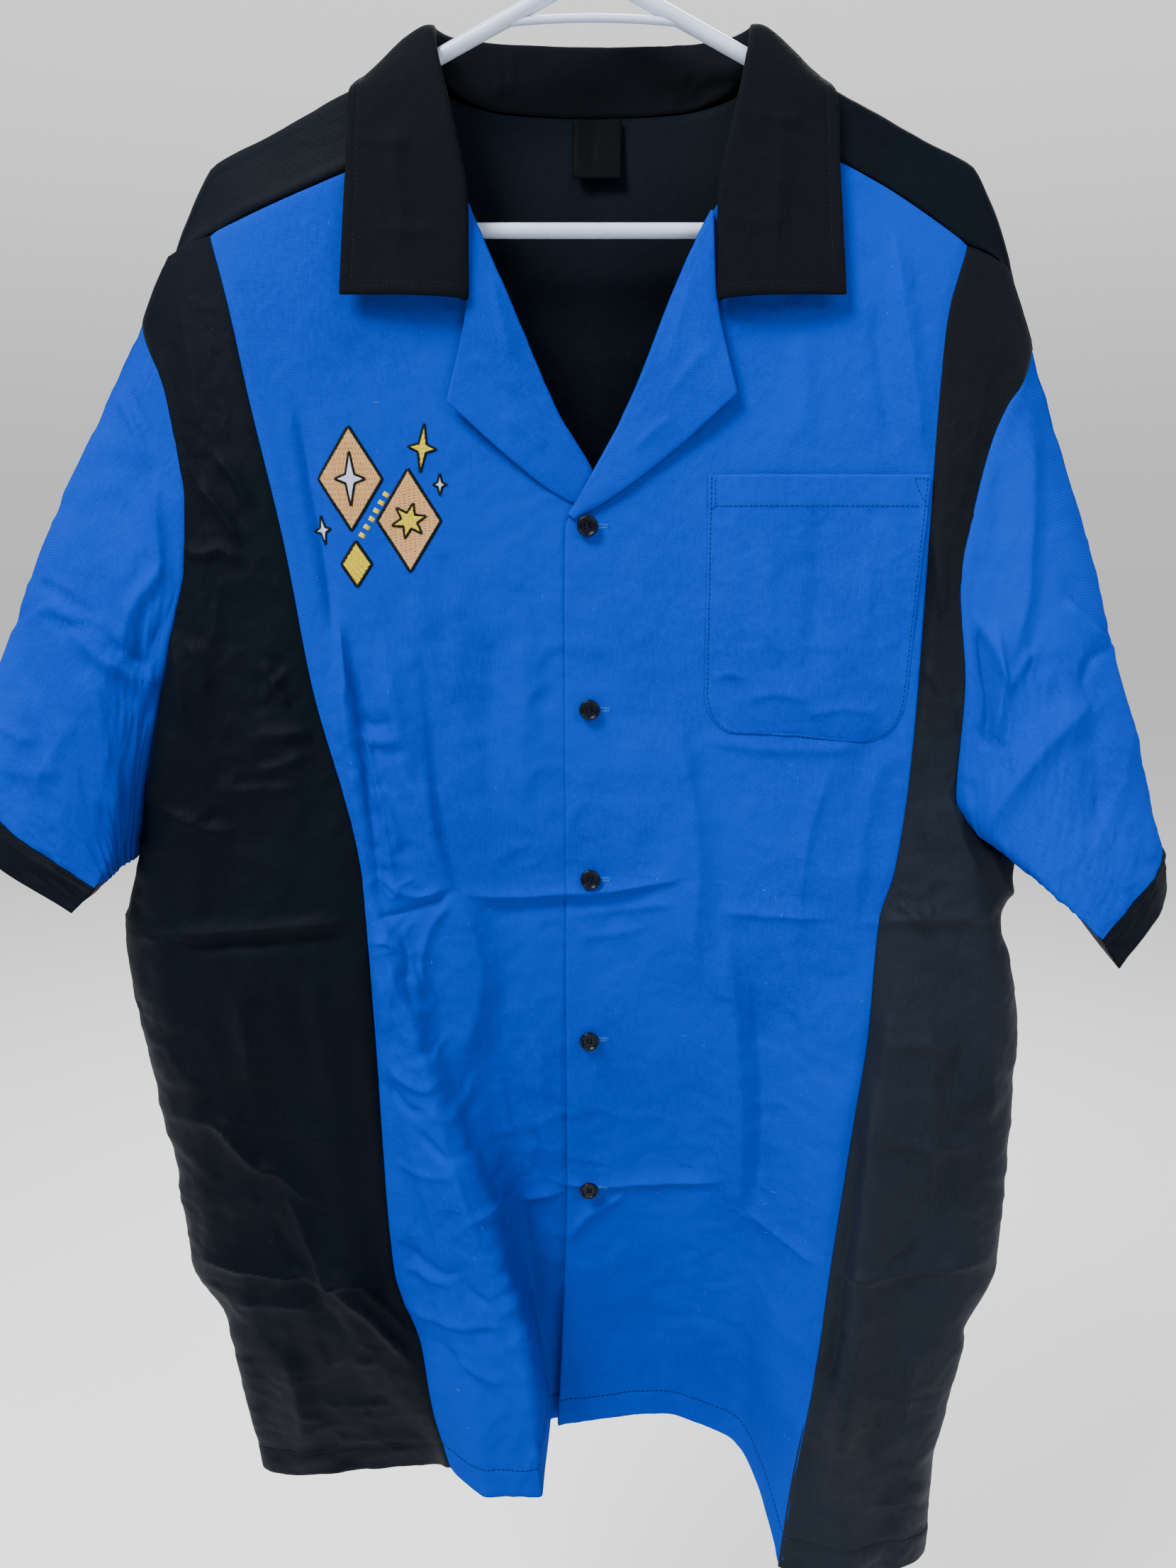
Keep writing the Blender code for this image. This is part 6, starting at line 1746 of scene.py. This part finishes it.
# ---- hanger ----------------------------------------------------------------------------------
def build_hanger():
    half = []
    apex_r = 16.0
    lean = math.atan(ARM_SLOPE)
    top_c = APEX_Z - apex_r / math.cos(lean)
    for a in np.linspace(0, lean, 9):
        half.append((apex_r * math.sin(a), 0, top_c + apex_r * math.cos(a)))
    for x in np.linspace(14, 168, 30):
        half.append((x, 0, APEX_Z - ARM_SLOPE * x))
    start = 90 - math.degrees(lean)
    for a in np.linspace(start, -90, 40):
        x, z = end_bend(a, END_R)
        half.append((x, 0, z))
    for x in np.linspace(178, 0, 36):
        half.append((x, 0, BAR_Z))
    half = np.array(half)
    keep = [0] + [i for i in range(1, len(half)) if np.linalg.norm(half[i] - half[i - 1]) > 0.4]
    half = half[keep]
    other = half[-2:0:-1] * np.array((-1, 1, 1))
    loop = np.concatenate((half, other))
    b = Bundle()
    b.tube(loop, TUBE_R, sides=28, closed=True)
    hook = [(0, 0, z) for z in np.linspace(APEX_Z - 1, APEX_Z + 15, 8)]
    hook += [(0.0, 0, APEX_Z + 17)]
    for a in np.linspace(-90, 195, 70):
        q = math.radians(a)
        hook.append((HOOK_R * math.cos(q), 0, HOOK_TUBE_R - HOOK_R + HOOK_R * math.sin(q)))
    hook = np.array(hook)
    keep = [0] + [i for i in range(1, len(hook)) if np.linalg.norm(hook[i] - hook[i - 1]) > 0.3]
    hook = hook[keep]
    tip = hook[-1] + np.array((-2.5, 0, -6.0))
    hook = np.concatenate((hook, [(hook[-1] + tip) / 2 + (-0.2, 0, 0), tip]))
    r = np.full(len(hook), HOOK_TUBE_R)
    r[-1], r[-2] = 3.0, 3.4
    b.tube(hook, r, sides=24)
    # collar of the neck, with its moulded ring
    z = np.array((-79, -76, -72, -66, -60, -57, -55.5, -54.5))
    b.tube(np.stack((z * 0, z * 0, z), -1), np.array((4.2, 4.6, 4.7, 4.6, 4.6, 4.9, 4.7, 4.0)), sides=28, up=(0, -1, 0))
    x = np.linspace(-46, 46, 33)
    b.tube(np.stack((x, x * 0, -98.0 - 2.2 * (x / 46) ** 2), -1), 2.0, sides=16)
    ob = b.build("hanger_moulded", [PLASTIC])
    bm = bmesh.new()
    bm.from_mesh(ob.data)
    bmesh.ops.recalc_face_normals(bm, faces=bm.faces)
    bm.to_mesh(ob.data)
    bm.free()
    made["hanger"] = ob


build_hanger()


# ---- embroidered diamonds and stars on the wearer's right front ----------------------------
def star(cx, cz, arms, long, short, turn=0.0):
    """A pointed star; the arms come as lengths in turn."""
    out = []
    for k in range(2 * arms):
        a = math.radians(turn) + math.pi * k / arms
        r = long[(k // 2) % len(long)] if k % 2 == 0 else short
        out.append((cx + r * math.sin(a), cz + r * math.cos(a)))
    return np.array(out)


def diamond(cx, cz, half_wide, half_tall):
    return np.array([(cx, cz + half_tall), (cx + half_wide, cz), (cx, cz - half_tall), (cx - half_wide, cz)])


class Embroidery:
    def __init__(self, skin, x, z, seed):
        self.skin, self.x, self.z = skin, x, z
        self.g = np.random.default_rng(seed)
        self.b = Bundle()

    def bar(self, line, rises, mat, r, lift):
        """One thread over the cloth, through points of x and z."""
        pts, nrm = [], []
        for (x, z), rise in zip(line, rises):
            got = self.skin.hit(self.x + x, self.z + z)
            if not got:
                return
            pts.append(got[0] + got[1] * (lift + rise))
            nrm.append(got[1])
        self.b.tube(pts, r, sides=4, mat=mat, flat=0.9, up=np.array(nrm))

    def fill(self, poly, angle, mat, lift=0.0, pitch=0.50, longest=8.0):
        a = math.radians(angle)
        rot = np.array(((math.cos(a), -math.sin(a)), (math.sin(a), math.cos(a))))
        q = poly @ rot
        row = 0
        for y in np.arange(q[:, 1].min() + pitch / 2, q[:, 1].max(), pitch):
            cuts = []
            for p0, p1 in zip(q, np.roll(q, -1, axis=0)):
                if (p0[1] <= y) != (p1[1] <= y):
                    cuts.append(p0[0] + (p1[0] - p0[0]) * (y - p0[1]) / (p1[1] - p0[1]))
            cuts.sort()
            row += 1
            for x0, x1 in zip(cuts[::2], cuts[1::2]):
                if x1 - x0 < 0.5:
                    continue
                stops = [x0] + list(np.arange(x0 - (x0 % longest) + longest * ((row % 3) / 3.0 + 0.15), x1 - 1.5, longest)) + [x1]
                stops = sorted(s for s in stops if x0 <= s <= x1)
                for s0, s1 in zip(stops[:-1], stops[1:]):
                    if s1 - s0 < 0.4:
                        continue
                    xs = s0 + (s1 - s0) * np.array((0, 0.14, 0.86, 1.0))
                    jog = self.g.uniform(-0.05, 0.05)
                    line = np.stack((xs, np.full(4, y + jog)), -1) @ rot.T
                    self.bar(line, (-0.10, 0.26, 0.26, -0.10), mat, 0.27, lift)

    def edge(self, poly, wide, mat, lift=0.0, pitch=0.48, closed=True):
        """Satin stitch along an outline."""
        line = np.concatenate((poly, poly[:1])) if closed else np.asarray(poly, float)
        k = np.concatenate(([0], np.cumsum(np.linalg.norm(np.diff(line, axis=0), axis=1))))
        for at in np.arange(0, k[-1], pitch):
            c = np.array([np.interp(at, k, line[:, i]) for i in (0, 1)])
            d = np.array([np.interp(min(at + 0.7, k[-1]), k, line[:, i]) - np.interp(max(at - 0.7, 0), k, line[:, i]) for i in (0, 1)])
            d = d / max(np.linalg.norm(d), 1e-6)
            w = np.array((-d[1], d[0])) * wide / 2 * self.g.uniform(0.9, 1.08)
            self.bar((c - w, c - 0.35 * w, c + 0.35 * w, c + w), (-0.06, 0.40, 0.40, -0.06), mat, 0.26, lift)


def build_motif():
    skin = skins["front_right"]
    p = skin.met(540.0, 716.0)[0]
    e = Embroidery(skin, p[0], p[2], 71)
    yellow, tan, white, black = 0, 1, 2, 3
    a, b, c = diamond(-17, 15, 17, 27), diamond(14, -7, 17, 27), diamond(-15, -30, 8, 12)
    e.fill(a, 90, tan)
    e.fill(b, 0, tan, pitch=0.52)
    e.fill(c, 45, yellow)
    for shape in (a, b, c):
        e.edge(shape, 1.9, black, 0.05)
    s1 = star(-17, 15, 4, (14, 8), 3.2)
    s2 = star(14, -7, 6, (9.5,), 4.2, 15)
    s3 = star(22, 31, 4, (12.5, 7.5), 2.9, 6)
    s4 = star(-33, -12, 4, (7.5, 4.5), 1.9, -8)
    s5 = star(31, 12, 4, (5.5, 3.5), 1.5)
    e.fill(s1, 0, white, 0.45)
    e.fill(s2, 90, yellow, 0.45)
    e.fill(s3, 90, yellow)
    e.fill(s4, 0, white)
    e.fill(s5, 0, white)
    for shape, lift in ((s1, 0.5), (s2, 0.5), (s3, 0.05), (s4, 0.05), (s5, 0.05)):
        e.edge(shape, 1.4, black, lift)
    # a row of six short yellow bars in the gap between the diamonds
    for k in range(6):
        q = np.array((-8.5 + 4.9 * k * 0.55 - 3.6, -15.5 + 7.8 * k * 0.55))
        e.edge([q, q + (1.1, 1.75)], 3.2, yellow, 0.0, closed=False)
    ob = e.b.build("front_right_embroidery", [YELLOW_THREAD, TAN_THREAD, WHITE_THREAD, BLACK_THREAD])
    threads_made["motif"] = ob


build_motif()


# ---- lint: short curled fibres that lie on the cloth -------------------------------------------
def build_lint():
    g = np.random.default_rng(83)
    for node, count, mat in (("front_left", 60, LINT_PALE), ("front_right", 46, LINT_PALE),
                             ("side_panel_right", 60, LINT_GREY), ("side_panel_left", 60, LINT_GREY)):
        skin = skins[node]
        rows, cols = skin.p.shape[:2]
        b = Bundle()
        for _ in range(count):
            i, j = g.uniform(8, rows - 9), g.uniform(3, cols - 4)
            p, m = (q for q in skin.at(np.array(i), np.array(j)))
            a = g.uniform(0, 2 * math.pi)
            t1 = unit(np.cross(m, (math.cos(a), 0.2, math.sin(a))))
            t2 = np.cross(m, t1)
            size, bow = g.uniform(0.5, 2.6), g.uniform(-0.6, 0.6)
            s = np.linspace(-0.5, 0.5, 6)[:, None]
            pts = p + m * 0.10 + t1 * s * size + t2 * (s * s * 4 * bow * size * 0.4)
            b.tube(pts, g.uniform(0.035, 0.065), sides=4, up=m)
        threads_made[node + "_lint"] = b.build(node + "_lint", [mat])


build_lint()
# ---- the frame's own table -----------------------------------------------------------------
BLUE_NODES = ("front_left", "front_right", "sleeve_left", "sleeve_right", "lapel_left", "lapel_right", "pocket")
SLOTS = {n: "blue_twill" for n in BLUE_NODES}
SLOTS.update({n: "black_twill" for n in ("side_panel_left", "side_panel_right", "back", "cuff_left", "cuff_right", "collar")})
SLOTS.update({"button_%d" % k: "buttons" for k in range(1, 6)})
SLOTS.update({"neck_label": "label_satin", "hanger": "hanger_plastic"})
for node, ob in made.items():
    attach(ob, "root")
    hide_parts(node)
for node, ob in threads_made.items():
    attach(ob, "root")

# ---- camera, light, floor --------------------------------------------------------------------
cam = bpy.data.cameras.new("cam")
cam.sensor_width = 36.0
cam.sensor_fit = "AUTO"
cam.lens = 36.0 * FOCAL / 2212.0
cam.clip_start, cam.clip_end = 0.05, 60.0
view = bpy.data.objects.new("cam", cam)
view.location = EYE * MM
view.rotation_euler = (math.pi / 2 - TILT, 0, 0)
bpy.context.scene.collection.objects.link(view)
bpy.context.scene.camera = view


def area(name, at, towards, size, watts, colour=(1, 1, 1)):
    data = bpy.data.lights.new(name, "AREA")
    data.shape = "RECTANGLE"
    data.size, data.size_y = size
    data.energy = watts
    data.color = colour
    ob = bpy.data.objects.new(name, data)
    ob.location = at
    ob.rotation_euler = (Vector(towards) - Vector(at)).to_track_quat("-Z", "Y").to_euler()
    bpy.context.scene.collection.objects.link(ob)
    return ob


area("key", (-1.25, -1.38, 1.68), (0, 0, -0.42), (1.0, 1.0), 172.0, (1.0, 0.995, 0.98))
area("fill", (0.85, -1.35, 0.65), (0.10, 0, -0.40), (0.9, 0.9), 13.0, (0.94, 0.97, 1.0))
side = bpy.data.lights.new("side", "SPOT")  # from the right onto the sleeve that the key misses
side.energy = 72.0
side.spot_size, side.spot_blend, side.shadow_soft_size = math.radians(27), 0.9, 0.22
side.color = (0.96, 0.98, 1.0)
lamp = bpy.data.objects.new("side", side)
lamp.location = (1.22, -1.00, 0.16)
lamp.rotation_euler = (Vector((0.36, 0.0, -0.43)) - Vector(lamp.location)).to_track_quat("-Z", "Y").to_euler()
bpy.context.scene.collection.objects.link(lamp)
area("rim", (0.20, 1.45, 1.15), (0, 0, -0.50), (0.9, 0.9), 80.0)

# a pale studio: brighter behind the shirt than in front of it
world = bpy.data.worlds.new("studio")
world.use_nodes = True
wt = world.node_tree
where = add(wt, "ShaderNodeTexCoord")
parts = add(wt, "ShaderNodeSeparateXYZ")
wt.links.new(where.outputs["Generated"], parts.inputs[0])
half = add(wt, "ShaderNodeMath", operation="MULTIPLY_ADD")
half.inputs[1].default_value = 0.5
half.inputs[2].default_value = 0.5
wt.links.new(parts.outputs["Y"], half.inputs[0])
tone = ramp(wt, half.outputs[0], [(0.35, (0.36, 0.365, 0.38)), (0.72, (1.20, 1.20, 1.21))])
rear = add(wt, "ShaderNodeMapRange", interpolation_type="SMOOTHSTEP")  # down to the floor's tone at its far edge
for socket, value in zip(("From Min", "From Max", "To Min", "To Max"), (0.0, 0.6, 0.0, 0.42)):
    rear.inputs[socket].default_value = value
wt.links.new(parts.outputs["Y"], rear.inputs["Value"])
low = add(wt, "ShaderNodeMapRange", interpolation_type="SMOOTHSTEP")
for socket, value in zip(("From Min", "From Max", "To Min", "To Max"), (0.0, 0.40, 1.0, 0.0)):
    low.inputs[socket].default_value = value
wt.links.new(parts.outputs["Z"], low.inputs["Value"])
less = add(wt, "ShaderNodeMath", operation="MULTIPLY")
wt.links.new(rear.outputs["Result"], less.inputs[0])
wt.links.new(low.outputs["Result"], less.inputs[1])
share = add(wt, "ShaderNodeMath", operation="SUBTRACT")
share.inputs[0].default_value = 1.0
wt.links.new(less.outputs[0], share.inputs[1])
toned = add(wt, "ShaderNodeVectorMath", operation="SCALE")
wt.links.new(tone, toned.inputs[0])
wt.links.new(share.outputs[0], toned.inputs["Scale"])
wt.links.new(toned.outputs["Vector"], wt.nodes["Background"].inputs["Color"])
wt.nodes["Background"].inputs["Strength"].default_value = 1.0
bpy.context.scene.world = world

floor_mat, floor_nt, floor_bsdf = look("floor_look")
floor_bsdf.inputs["Base Color"].default_value = (0.86, 0.86, 0.86, 1)
floor_bsdf.inputs["Roughness"].default_value = 0.9
bpy.ops.mesh.primitive_plane_add(size=60.0, location=(0, 0, -1.5))
floor = bpy.context.object
floor.name = "floor"
floor.data.materials.append(floor_mat)
